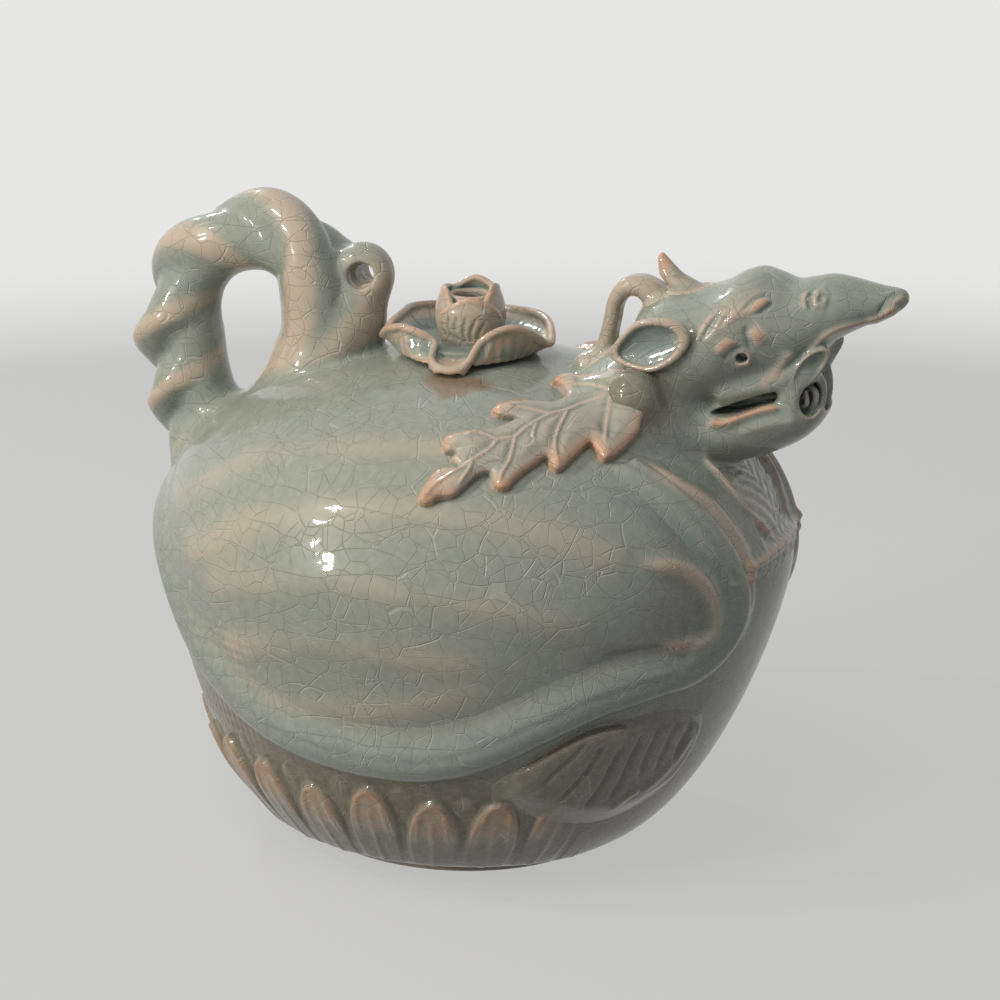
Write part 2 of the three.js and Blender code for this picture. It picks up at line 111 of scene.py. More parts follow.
def polar_profile():
    """The half section as a smoothed radius over the angle seen from the hub."""
    half, z = body_profile()
    angle = np.arctan2(z - HUB_Z, half)
    radius = np.hypot(half, z - HUB_Z)
    order = np.argsort(angle)
    table = np.linspace(angle.min(), np.pi / 2, POLAR_STEPS)
    found = np.interp(table, angle[order], radius[order])
    kernel = np.exp(-0.5 * (np.arange(-60, 61) / POLAR_BLUR) ** 2)
    kernel /= kernel.sum()
    padded = np.concatenate([2 * found[0] - found[60:0:-1], found, found[-2:-62:-1]])
    return table, np.convolve(padded, kernel, "valid")


POLAR_ANGLE, POLAR_RADIUS = polar_profile()
POLAR_SLOPE = np.gradient(POLAR_RADIUS, POLAR_ANGLE)


def body_skin(p):
    """Signed distance from the plain body and the unit normal there, for points (n, 3)."""
    x = p[:, 0] - lean_at(p[:, 2])
    y = p[:, 1]
    rho = np.hypot(x, y / BODY_RATIO) + 1e-9
    up = p[:, 2] - HUB_Z
    angle = np.arctan2(up, rho)
    radius = np.interp(angle, POLAR_ANGLE, POLAR_RADIUS)
    slope = np.interp(angle, POLAR_ANGLE, POLAR_SLOPE) / radius
    far = np.hypot(rho, up)
    tilt = 1 / np.hypot(1, slope)
    # normal in the half section: radial minus slope times tangential
    out = rho / far
    rise = up / far
    n_rho = (out + slope * rise) * tilt
    n_z = (rise - slope * out) * tilt
    flat = (far - radius) * tilt
    gx = n_rho * x / rho
    gy = n_rho * y / (rho * BODY_RATIO**2)
    size = np.sqrt(gx * gx + gy * gy + n_z * n_z)
    normal = np.stack([gx, gy, n_z], 1) / size[:, None]
    return flat / size, normal



# Closed surfaces from fields: a field is negative inside a piece.
def field_blocks(field, low, high, cell, reach=1.6, step=4):
    """The field on a grid, worked out only in the blocks that its surface may cross."""
    blocks = np.ceil((np.asarray(high, float) - low) / (cell * step)).astype(int)
    middle = [low[a] + cell * (step * (np.arange(blocks[a]) + 0.5) - 0.5) for a in range(3)]
    centres = np.stack(np.meshgrid(*middle, indexing="ij"), -1).reshape(-1, 3)
    coarse = evaluate(field, centres).reshape(blocks)
    values = coarse.repeat(step, 0).repeat(step, 1).repeat(step, 2)
    near = np.argwhere(np.abs(coarse) < reach * cell * step * 0.87)
    inner = np.stack(np.meshgrid(*[np.arange(step)] * 3, indexing="ij"), -1).reshape(-1, 3)
    index = (near[:, None, :] * step + inner[None]).reshape(-1, 3)
    values[tuple(index.T)] = evaluate(field, low + index * cell)
    for a in range(3):
        border = [slice(None)] * 3
        for end in (0, -1):
            border[a] = end
            values[tuple(border)] = np.abs(values[tuple(border)]) + 0.1
    return values


CHUNK = 60000


def evaluate(field, points):
    return np.concatenate([field(points[i:i + CHUNK]) for i in range(0, len(points), CHUNK)])


CORNERS = np.array([(i, j, k) for i in (0, 1) for j in (0, 1) for k in (0, 1)])
EDGES = [(a, b) for a in range(8) for b in range(a + 1, 8) if np.abs(CORNERS[a] - CORNERS[b]).sum() == 1]


def surface_net(values, low, cell):
    """Vertices and four-sided faces of the grid's zero surface, one vertex in each crossed cell."""
    inside = values < 0
    count = np.zeros(np.array(values.shape) - 1, np.int8)
    for i, j, k in CORNERS:
        count += inside[i:i + count.shape[0], j:j + count.shape[1], k:k + count.shape[2]]
    cells = np.argwhere((count > 0) & (count < 8))
    corner = np.stack([values[tuple((cells + c).T)] for c in CORNERS], 1)
    total = np.zeros((len(cells), 3))
    crossings = np.zeros(len(cells))
    for a, b in EDGES:
        fa, fb = corner[:, a], corner[:, b]
        crossed = (fa < 0) != (fb < 0)
        t = np.where(crossed, fa / np.where(crossed, fa - fb, 1), 0)
        total += crossed[:, None] * (CORNERS[a] + t[:, None] * (CORNERS[b] - CORNERS[a]))
        crossings += crossed
    vertices = np.asarray(low) + cell * (cells + total / crossings[:, None])
    number = np.full(count.shape, -1, np.int32)
    number[tuple(cells.T)] = np.arange(len(cells))
    faces = []
    for a in range(3):
        b, c = (a + 1) % 3, (a + 2) % 3
        first = [slice(None)] * 3
        second = [slice(None)] * 3
        first[a], second[a] = slice(None, -1), slice(1, None)
        crossed = inside[tuple(first)] != inside[tuple(second)]
        at = np.argwhere(crossed)
        at = at[(at[:, b] > 0) & (at[:, c] > 0) & (at[:, b] < count.shape[b]) & (at[:, c] < count.shape[c])]
        ring = []
        for db, dc in ((1, 1), (0, 1), (0, 0), (1, 0)):
            cell_at = at.copy()
            cell_at[:, b] -= db
            cell_at[:, c] -= dc
            ring.append(number[tuple(cell_at.T)])
        ring = np.stack(ring, 1)
        leaving = inside[tuple(at.T)]
        faces.append(np.where(leaving[:, None], ring, ring[:, ::-1]))
    return vertices, np.concatenate(faces)


TETRA = np.array([(1, 1, 1), (1, -1, -1), (-1, 1, -1), (-1, -1, 1)], float)


def slope_of(field, points, span):
    """The field's gradient by four samples round each point."""
    values = [evaluate(field, points + t * span) for t in TETRA]
    return sum(v[:, None] * t for v, t in zip(values, TETRA)) / (4 * span)


def bulge_of(field, points, span):
    """How far a surface bulges out (positive) or hollows in over a span, roughly from -1 to 1."""
    far = span * np.sqrt(1 / 3)
    values = sum(evaluate(field, points + sign * t * far) for t in TETRA for sign in (1, -1))
    return values / (8 * span)


def carve(field, low, high, cell, span=2.2):
    """A closed mesh of a field: vertices drawn onto the surface, faces, and its bulge."""
    vertices, faces = surface_net(field_blocks(field, np.asarray(low, float), high, cell), low, cell)
    for _ in range(2):
        slope = slope_of(field, vertices, cell * 0.3)
        size = np.maximum((slope**2).sum(1), 0.2)
        move = -evaluate(field, vertices)[:, None] * slope / size[:, None]
        vertices = vertices + np.clip(move, -0.5 * cell, 0.5 * cell)
    return vertices, faces, bulge_of(field, vertices, span)



# Lines on the skin
def smooth_path(stops, steps=5):
    """Points along a smooth open curve through stops, with any number of columns."""
    stops = np.asarray(stops, float)
    ends = np.vstack([2 * stops[0] - stops[1], stops, 2 * stops[-1] - stops[-2]])
    t = np.arange(steps)[:, None] / steps
    parts = []
    for a, b, c, d in zip(ends[:-3], ends[1:-2], ends[2:-1], ends[3:]):
        parts.append(0.5 * (2 * b + (c - a) * t + (2 * a - 5 * b + 4 * c - d) * t**2
                            + (3 * b - 3 * c + d - a) * t**3))
    return np.vstack(parts + [stops[-1:]])


def beside(p, path, reach):
    """For points near a path: their distance, the share of the path passed, and the offset from it.

    Points further away than reach have an infinite distance.
    """
    gap = np.full(len(p), np.inf)
    share = np.zeros(len(p))
    offset = np.zeros(p.shape)
    line = path[:, :p.shape[1]]
    near = np.where(((p > line.min(0) - reach) & (p < line.max(0) + reach)).all(1))[0]
    if len(near) == 0:
        return gap, share, offset
    q = p[near]
    closest = ((line**2).sum(1) - 2 * (q @ line.T)).argmin(1)
    best = np.full(len(q), np.inf)
    at = np.zeros(len(q))
    off = np.zeros(q.shape)
    for first in (np.maximum(closest - 1, 0), np.minimum(closest, len(line) - 2)):
        step = (line[1:] - line[:-1])[first]
        away = q - line[first]
        t = np.clip((away * step).sum(1) / ((step * step).sum(1) + 1e-12), 0, 1)
        away -= t[:, None] * step
        d = (away**2).sum(1)
        closer = d < best
        best[closer] = d[closer]
        at[closer] = (first + t)[closer]
        off[closer] = away[closer]
    best = np.sqrt(best)
    kept = best < reach
    gap[near[kept]] = best[kept]
    share[near[kept]] = at[kept] / (len(line) - 1)
    offset[near[kept]] = off[kept]
    return gap, share, offset


def bell(distance, width):
    return np.exp(-np.minimum((distance / width) ** 2, 60))


def fade(share, start, end):
    """0 at a path's two ends and 1 between, over the given shares of its length."""
    rise = smooth_step(share, 0, start) if start > 0 else 1
    fall = 1 - smooth_step(share, 1 - end, 1) if end > 0 else 1
    return rise * fall


def modelled_lines(p, lines, facing=None, taper=1.0):
    """Height and warmth of lines: stops, height (negative for a groove), width, fading at both ends, warmth.

    A last number makes the warmth that much wider. Distance along facing hardly counts, and taper is how
    narrow a line gets at its ends.
    """
    height, warm = np.zeros((2, len(p)))
    for stops, tall, width, start, end, warmth, *wider in lines:
        gap, share, off = beside(p, smooth_path(stops), 3 * width + 3)
        near = np.where(np.isfinite(gap))[0]
        gap, off = gap[near], off[near]
        if facing is not None:
            gap = np.linalg.norm(off - 0.85 * (off @ facing)[:, None] * facing, axis=1)
        full = fade(share[near], start, end)
        reach = width * (taper + (1 - taper) * full)
        height[near] += tall * full * bell(gap, reach)
        warm[near] += warmth * full * bell(gap, reach * (wider[0] if wider else 1))
    return height, warm


# Lines of the carapace: its swells, the comma at their front, the pocket under it and the valley round it.
SHELL_LINES = [
    ([(-84, 28, 108), (-69.7, 50.8, 114.2), (-46.2, 56.5, 127.8), (-17, 58.5, 135), (10, 57.5, 136.5),
      (28, 55.5, 135), (44, 50, 130)], 0.55, 5.5, 0.12, 0.25, 0.5, 1.4),
    ([(-72, 54, 94), (-60.7, 63.5, 102.5), (-30.8, 72.5, 117.1), (-5.9, 73.9, 121.9), (23, 71, 122.4),
      (45.9, 65.6, 118.2), (59.7, 60.4, 112.7), (72.4, 52, 107.5)], 0.6, 6, 0.12, 0.15, 0.55, 1.4),
    ([(-60, 64, 88), (-48.5, 71.6, 95), (-11, 81.6, 102.6), (26.1, 79.4, 100.2), (50.9, 70.4, 94.4),
      (69.6, 57.2, 92.3)], 0.5, 5, 0.15, 0.25, 0.385, 1.4),
    ([(-55, 65, 74), (-44.2, 71.3, 77.7), (-11.6, 81.2, 83.7), (20, 79.7, 82.4), (47.6, 69.6, 79.2)],
     0.5, 5, 0.2, 0.25, 0.44, 1.4),
    ([(-46, 69, 62.5), (-32.4, 72, 61), (-8.6, 77.2, 64), (19.1, 77.6, 70), (47.4, 69.1, 76.6)],
     0.45, 4.5, 0.2, 0.25, 0.44, 1.4),
    ([(66, 57, 109.5), (72, 52, 108.3), (78.3, 46, 105.7), (83.8, 40.5, 99), (85.5, 37.7, 90.4),
      (83.5, 38.8, 84.5), (78, 46, 83.4), (72, 52.5, 84.5)], 1.7, 2.6, 0.25, 0.15, 0.9),
    ([(54, 67, 79.5), (62, 62.5, 81.5), (69, 56.5, 82), (75.5, 49.5, 80.5), (80.5, 42.5, 78.5)],
     -2.4, 3.4, 0.45, 0.1, 0.5),
    ([(50, 50, 130), (66, 45, 121), (78, 40.5, 113), (86, 35, 103), (88.5, 31.5, 92), (86, 32.5, 80)],
     -1.0, 4, 0.3, 0.2, -0.5, 1.12),
]
FRONT_CREST = [(52, 36, 136.5), (64.5, 35, 130.5), (72.1, 33, 125.8), (80.2, 29.5, 120), (86.9, 27.7, 111.5),
               (90.5, 26.2, 103.7), (91.5, 26, 95.4), (91.1, 25.6, 87.9), (88.7, 24.6, 75.7)]
# The bib's rim and the ruffle under it; the bib's half width on the chest above its taper.
BIB_HALF = 18.5
BIB_TAPER_Z = 118
RUFFLE_Z = 98.5
BIB_RIM = [(72.5, 17, 131.8), (77, 17.6, 128.6), (84.5, 18, 120.3), (89.3, 16.2, 114.8), (92.7, 11.8, 109.5),
           (94.2, 9.5, 106.4)]
RUFFLE = [(90.8, 26, 101.5), (92.6, 20, 101.4), (94.6, 12.5, 101.8), (95.7, 5.5, 102), (96, 0, 102.3)]
PETALS = 26
PETAL_PHASE = 0.68  # of their pitch
PETAL_ROWS = ((36.5, 0.49), (40.0, 0.3))  # height of the tips and half width as a share of the pitch
PETAL_TOP = 48  # above all tips


def lotus_row(p):
    """The ring of upright petals round the bowl's foot: height and pinkness."""
    x = p[:, 0] - lean_at(p[:, 2])
    y = p[:, 1] / BODY_RATIO
    turn = np.arctan2(y, x)
    rho = np.hypot(x, y)
    pitch = 2 * np.pi / PETALS
    height = np.zeros(len(p))
    pink = np.zeros(len(p))
    low = p[:, 2] < PETAL_TOP
    for row, (tip, share) in enumerate(PETAL_ROWS):
        phase = (PETAL_PHASE + row / 2) * pitch
        cell = np.round((turn - phase) / pitch)
        wobble = 1.8 * np.sin(cell * 2.4 + row)
        u = (turn - phase - cell * pitch) * rho
        v = (p[:, 2] - 2) / (tip + wobble + 2.5 * smooth_step(-x, 20, 60) - 2)
        half = share * pitch * rho * np.sqrt(np.clip(1 - np.clip(v, 0, 1) ** 4, 0, 1))
        edge = half - np.abs(u)
        inside = smooth_step(edge, -0.8, 2.0) * (v < 1.02)
        if row == 1:
            height = np.maximum(height, 0.5 * inside * low)
            pink = np.maximum(pink, 0.35 * inside * smooth_step(v, 0.75, 0.95))
            continue
        arch = bell(edge - 1.5, 0.9)
        nested = bell(half * 0.62 - np.abs(u) - 0.4, 0.7) * smooth_step(v, 0.4, 0.7) * (v < 0.86)
        rib = bell(u, 0.9) * (1 - smooth_step(v, 0.72, 0.85))
        raised = inside * (0.8 + (0.4 * arch + 1.2) * smooth_step(v, 0.3, 0.8) + 0.3 * rib) + 0.4 * nested
        height = np.where(inside > 0.02, raised, height * (1 - inside))
        pink = np.where(inside > 0.02, inside * (1.5 * smooth_step(v, 0.42, 0.75) + 0.5 * rib), pink)
    foot = smooth_step(p[:, 2], 5, 9)
    return height * foot * low, pink * low


def scales(p, pitch):
    """A net of small overlapping scales, from -1 in the grooves to 1 on the scales."""
    a = (p[:, 0] + 0.6 * p[:, 1]) / pitch
    b = p[:, 2] / pitch
    return np.cos(np.pi * (a + b)) * np.cos(np.pi * (a - b))


def front_crest(p):
    """The shell's crest down the ewer's front: sharp towards the chest, soft towards the shell."""
    gap, share, off = beside(p, smooth_path(FRONT_CREST, 8), 24)
    full = fade(share, 0.25, 0.2)
    outer = off[:, 1] < 0
    height = 2.2 * bell(gap, np.where(outer, 2.4, 5.0)) * full
    return height, 0.95 * bell(gap, np.where(outer, 2.4, 6.5)) * full


def chest(p):
    """The scaly bib between its rims, and the ruffle under it."""
    gap, share, _ = beside(p, smooth_path(BIB_RIM, 8), 14)
    height = 1.5 * bell(gap, 1.2) * fade(share, 0.1, 0.1)
    warm = 0.8 * bell(gap, 1.3)
    bib = smooth_step(BIB_HALF - p[:, 1] - 0.25 * np.maximum(0, BIB_TAPER_Z - p[:, 2]), 0, 2)
    bib *= smooth_step(p[:, 2], 103.5, 105) * smooth_step(p[:, 0], 62, 74)
    height += bib * (-0.9 + 0.28 * scales(p, 3.0))
    warm += 0.45 * bib
    gap, _, _ = beside(p, smooth_path(RUFFLE, 8), 9)
    waves = 0.5 * np.sin(p[:, 1] * 1.1) + 0.5 * np.sin(p[:, 1] * 2.3 + 1)
    height += (1.5 + 0.4 * waves) * bell(gap + 0.5 * waves, 1.5)
    height += 0.8 * bell(p[:, 2] - RUFFLE_Z - 0.6 * waves, 1.0) * (gap < 9)
    return height, warm + 0.8 * bell(gap, 2.2)


def relief(p):
    """How far the moulded relief stands over the plain skin, and the glaze's warmth there."""
    height, warm = np.sum([modelled_lines(p, SHELL_LINES), front_crest(p), chest(p)], axis=0)
    petal, pink = lotus_row(p)
    front = 1 - smooth_step(p[:, 0], 38, 50)
    flank = smooth_step(-p[:, 0], 34, 46) * smooth_step(p[:, 2], 40, 46) * (1 - smooth_step(p[:, 2], 76, 84))
    height += petal * front + 0.18 * flank * scales(p, 3.4)
    warm += pink * front + 0.25 * flank
    return height, warm - 0.1



# The relief's height and warmth on a grid of the skin, so that other pieces can meet it quickly.
TABLE_LOW = -0.96
TABLE_HIGH = 1.5
TABLE_ROWS = 520
TABLE_COLUMNS = 700


def between(grid, row, column):
    """A grid's values at real rows and columns; past its edges, those at the edge."""
    row = np.clip(row, 0, grid.shape[0] - 1.001)
    column = np.clip(column, 0, grid.shape[1] - 1.001)
    i, j = row.astype(int), column.astype(int)
    a, b = (row - i)[:, None], (column - j)[:, None]
    return ((grid[i, j] * (1 - a) + grid[i + 1, j] * a) * (1 - b)
            + (grid[i, j + 1] * (1 - a) + grid[i + 1, j + 1] * a) * b)


def relief_table():
    angle = np.linspace(TABLE_LOW, TABLE_HIGH, TABLE_ROWS)[:, None]
    turn = np.linspace(0, np.pi, TABLE_COLUMNS)[None]
    radius = np.interp(angle, POLAR_ANGLE, POLAR_RADIUS)
    z = np.broadcast_to(HUB_Z + radius * np.sin(angle), (TABLE_ROWS, TABLE_COLUMNS))
    x = lean_at(z) + radius * np.cos(angle) * np.cos(turn)
    y = BODY_RATIO * radius * np.cos(angle) * np.sin(turn)
    height, warm = relief(np.stack([x, y, z], -1).reshape(-1, 3))
    return np.stack([height, warm], 1).reshape(*z.shape, 2)


RELIEF = relief_table()


def on_skin(q):
    """The relief's height and warmth at points of the plain skin."""
    x = q[:, 0] - lean_at(q[:, 2])
    y = q[:, 1] / BODY_RATIO
    angle = np.arctan2(q[:, 2] - HUB_Z, np.hypot(x, y))
    row = (angle - TABLE_LOW) / (TABLE_HIGH - TABLE_LOW) * (TABLE_ROWS - 1)
    return between(RELIEF, row, np.arctan2(y, x) / np.pi * (TABLE_COLUMNS - 1))


def near_side(p):
    """The same points on the described side, which is |y|."""
    return np.stack([p[:, 0], np.abs(p[:, 1]), p[:, 2]], 1)


def skin_field(p):
    """The body's field with its relief, for pieces that are luted to it; p has y > 0."""
    d, n = body_skin(p)
    near = np.abs(d) < 9
    d[near] -= on_skin(p[near] - d[near, None] * n[near])[:, 0]
    return d


def skin_warmth(p):
    """The warmth of the body's glaze under points beside it."""
    d, n = body_skin(p)
    return on_skin(p - d[:, None] * n)[:, 1]


def luted(form, ground, fillet, depth=1.0):
    """What a form that is luted to its ground with a fillet adds to the ground itself."""
    under = ground + 0.15
    joined = smooth_min(form, under, fillet)
    return np.maximum(np.maximum(joined, joined - under + 0.02), -ground - depth)



def grid_faces(rows, columns):
    """Faces of closed rows of points, turned so that they face out when rows rise and columns turn left."""
    i, j = (k.ravel() for k in np.meshgrid(np.arange(rows - 1), np.arange(columns), indexing="ij"))
    low, high, following = i * columns, (i + 1) * columns, (j + 1) % columns
    return np.stack([low + j, low + following, high + following, high + j], 1)


def end_caps(rows, columns):
    """The faces that close the first and the last of such rows."""
    return [list(range(columns))[::-1], list(range((rows - 1) * columns, rows * columns))]


def swollen(height, reach):
    """How far each point of a height grid stands over its surroundings."""
    kernel = np.exp(-0.5 * (np.arange(-3 * reach, 3 * reach + 1) / reach) ** 2)
    kernel /= kernel.sum()
    smooth = height
    for _ in range(2):
        wide = np.pad(smooth, [(3 * reach, 3 * reach), (0, 0)], mode="reflect")
        smooth = sum(k * wide[i:i + len(smooth)] for i, k in enumerate(kernel)).T
    return height - smooth


LID_X = -2.3
MOUTH_RADIUS = 17.0
WALL = 5.0
BODY_COLUMNS = 480  # over half the body
BODY_ROWS = 330
INNER_STEP = 6  # rows of the outer wall for each of the inner
MOUTH_LIP = ((0.35, 0.12), (1.0, 0.3), (2.5, 0.3))  # how far down and how far in
WALL_STEPS = 4000  # in which the outer wall's length is measured


def outer_wall():
    """Points of the plain outer wall in even rows, from the foot's edge to the mouth's."""
    low = math.atan2(BODY_LOW - HUB_Z, BASE_LENGTH)
    high = math.atan2(DOME_TOP - HUB_Z, MOUTH_RADIUS)
    fine = np.linspace(low, high, WALL_STEPS)
    radius = np.interp(fine, POLAR_ANGLE, POLAR_RADIUS)
    rho, z = radius * np.cos(fine), HUB_Z + radius * np.sin(fine)
    arc = np.concatenate([[0], np.cumsum(np.hypot(np.diff(rho), np.diff(z)))])
    at = np.linspace(0, arc[-1], BODY_ROWS)
    rho, z = np.interp(at, arc, rho)[:, None], np.interp(at, arc, z)[:, None]
    turn = np.linspace(0, np.pi, BODY_COLUMNS + 1)
    round_mouth = smooth_step(rho, 70, MOUTH_RADIUS) * (z > BELLY_Z)
    x = lean_at(z) + LID_X * round_mouth + rho * np.cos(turn)
    y = rho * np.sin(turn) * (BODY_RATIO + (1 - BODY_RATIO) * round_mouth)
    p = np.stack([x, y, z + 0 * x], -1).reshape(-1, 3)
    top = p[:, 2] > 100
    for _ in range(4):
        d, n = body_skin(p)
        p[top, 2] -= (d / np.maximum(n[:, 2], 0.3))[top]
        p[~top, :2] -= ((d / (n[:, 0]**2 + n[:, 1]**2))[:, None] * n[:, :2])[~top]
    return p


def rings_inward(ring, scales):
    """Copies of a ring that shrink towards the foot's middle."""
    return [ring * (s, s, 1) + (lean_at(BODY_LOW) * (1 - s), 0, 0) for s in scales]


def body_mesh():
    """The hollow body's closed mesh with its filling mouth, its warmth, and the caps of its two ends."""
    p = outer_wall()
    shape = (BODY_ROWS, BODY_COLUMNS + 1)
    normal = body_skin(p)[1]
    height, warm = relief(p)
    height[np.hypot(p[:, 0] - LID_X, p[:, 1]) < MOUTH_RADIUS + 3] = 0
    warm += 0.9 * np.clip(swollen(height.reshape(shape), 4), -0.8, 0.8).ravel()
    outer = (p + normal * height[:, None]).reshape(*shape, 3)
    inner = (p - normal * WALL).reshape(*shape, 3)[::INNER_STEP]
    edge = outer[-1]
    away = edge - (LID_X, 0, 0)
    away[:, 2] = 0
    away /= np.linalg.norm(away, axis=1)[:, None]
    lip = [edge - away * inward - (0, 0, drop) for drop, inward in MOUTH_LIP]
    risen = inner[inner[:, 0, 2] > BODY_LOW + WALL]
    under = rings_inward(outer[0], (0.02, 0.5, 0.96))
    sheet = np.concatenate([under, outer, lip, risen[::-1], rings_inward(inner[0], (0.66, 0.33, 0.02))])
    tone = np.zeros(sheet.shape[:2])
    tone[len(under):len(under) + BODY_ROWS] = warm.reshape(shape)
    full = np.concatenate([sheet, sheet[:, -2:0:-1] * (1, -1, 1)], 1)
    tone = np.concatenate([tone, tone[:, -2:0:-1]], 1)
    return full.reshape(-1, 3), grid_faces(*tone.shape), tone.ravel(), end_caps(*tone.shape)



# The rolled rim of the shell: stops on the skin, how deep its middle lies, its radius.
RIM = [
    (-96.5, 0, 106, 1.5, 4.2), (-94, 12, 104.5, 1.8, 4.6), (-87, 33, 98, 2.2, 5.2),
    (-79.5, 45.5, 86, 2.6, 5.8), (-69.5, 54.5, 72, 2.8, 6.4), (-57, 62, 62, 2.8, 6.8),
    (-42, 67.5, 54, 2.8, 7), (-25, 71.5, 50, 2.8, 7.2), (-6, 73.2, 48.5, 2.8, 7.4),
    (12, 72.6, 49.2, 2.8, 7.4), (28, 70.6, 54, 2.8, 7.2), (43, 67, 62, 2.8, 7), (57, 60, 69.5, 2.8, 6.8),
    (70, 49.5, 73, 2.8, 6.4), (80.5, 37.5, 75.5, 2.6, 6), (87.5, 29.8, 83, 2.4, 5.4),
    (90.3, 28.6, 94, 2.2, 4.8), (88, 31, 104, 2, 4.4), (81.5, 34, 115, 1.8, 4),
    (72.5, 36.2, 124.5, 1.6, 3.6), (62, 37.4, 132, 1.4, 3),
]


def rim_path():
    path = smooth_path(RIM, 6)
    d, n = body_skin(path[:, :3])
    path[:, :3] -= n * (d + path[:, 3])[:, None]
    return path


RIM_PATH = rim_path()
RIM_TANGENT = np.gradient(RIM_PATH[:, :3], axis=0)


def rim_field(p):
    """The roll: crisp and undercut below, running softly into the shell above."""
    skin = skin_field(p)
    gap, share, offset = beside(p, RIM_PATH, 16)
    at = share * (len(RIM_PATH) - 1)
    steps = np.arange(len(RIM_PATH))
    radius = np.interp(at, steps, RIM_PATH[:, 4])
    tangent = np.stack([np.interp(at, steps, RIM_TANGENT[:, a]) for a in range(3)], 1)
    tangent /= np.linalg.norm(tangent, axis=1)[:, None] + 1e-9
    normal = body_skin(p)[1]
    up = np.cross(tangent, normal)
    upper = (offset * up).sum(1)
    roll = np.minimum(gap, 20) - radius
    soft = 0.6 + 6.5 * smooth_step(upper, 0, 5)
    return luted(roll, skin, soft)



# Sections across the head and the jaw along x: lowest, highest, half width.
SKULL = [
    (50, 154, 163, 5), (52, 147, 168.5, 12), (56, 141, 172, 17), (61, 138, 174, 20),
    (68, 139, 175.2, 21.5), (76, 143.5, 177.5, 21), (82, 146.5, 181, 19.5), (87, 148.5, 182.4, 17.6),
    (92, 150.5, 181.2, 16.2), (97, 153, 179.7, 14.6), (102, 156.5, 180.7, 12.8),
    (107, 160.5, 181.7, 11.4), (112, 164, 181.3, 10), (121, 169.6, 179.6, 6.2), (125, 171.8, 179.2, 4.4),
    (127.4, 173.6, 178.6, 2.8), (128.6, 175.3, 177.4, 1),
]
JAW = [
    (58, 128, 143, 12), (62, 124.5, 146, 16.5), (68, 123.5, 147, 18.5), (77, 124.5, 148, 17.8),
    (86, 126.8, 149, 16), (94, 130, 150, 13.6), (100, 133.4, 150.5, 11.8), (104.5, 137.5, 150, 9.4),
    (107, 141.5, 148.5, 5.6), (107.8, 144, 146.5, 2.4),
]
# Level sections of the neck: height, rearmost, foremost, half width.
NECK = [
    (108, 11, 81, 42), (122, 15, 79, 40), (134, 19.5, 77.5, 36), (144, 28, 76, 29), (151, 37, 75, 22),
    (157, 45, 75, 16),
]


def oval_sections(p, table, along, across):
    """The field of a form given by oval sections along one axis, upright or level."""
    fine = smooth_path(table, 6)
    fine = fine[np.argsort(fine[:, 0])]
    place = p[:, along]
    low, high, half = (np.interp(place, fine[:, 0], fine[:, i]) for i in (1, 2, 3))
    middle, tall = (low + high) / 2, (high - low) / 2
    a, b = (p[:, across] - middle) / tall, p[:, 1] / half
    k = np.hypot(a, b) + 1e-9
    side = k * (k - 1) / (np.hypot(a / tall, b / half) + 1e-9)
    side = np.where(k < 0.5, (k - 1) * np.minimum(tall, half), side)
    over = np.maximum(fine[0, 0] - place, place - fine[-1, 0])
    return np.where(over > 0, np.hypot(over, np.maximum(side, 0)), np.maximum(side, over))


def upright_sections(p, table):
    return oval_sections(p, table, 0, 2)


def level_sections(p, table):
    return oval_sections(p, table, 2, 0)



def strand(p, stops, steps=6, reach=8.0):
    """The field of a round rod through stops with a fourth column for its radius."""
    path = smooth_path(stops, steps)
    gap, share, _ = beside(p, path, path[:, 3].max() + reach)
    radius = np.interp(share * (len(path) - 1), np.arange(len(path)), path[:, 3])
    return np.minimum(gap - radius, reach)


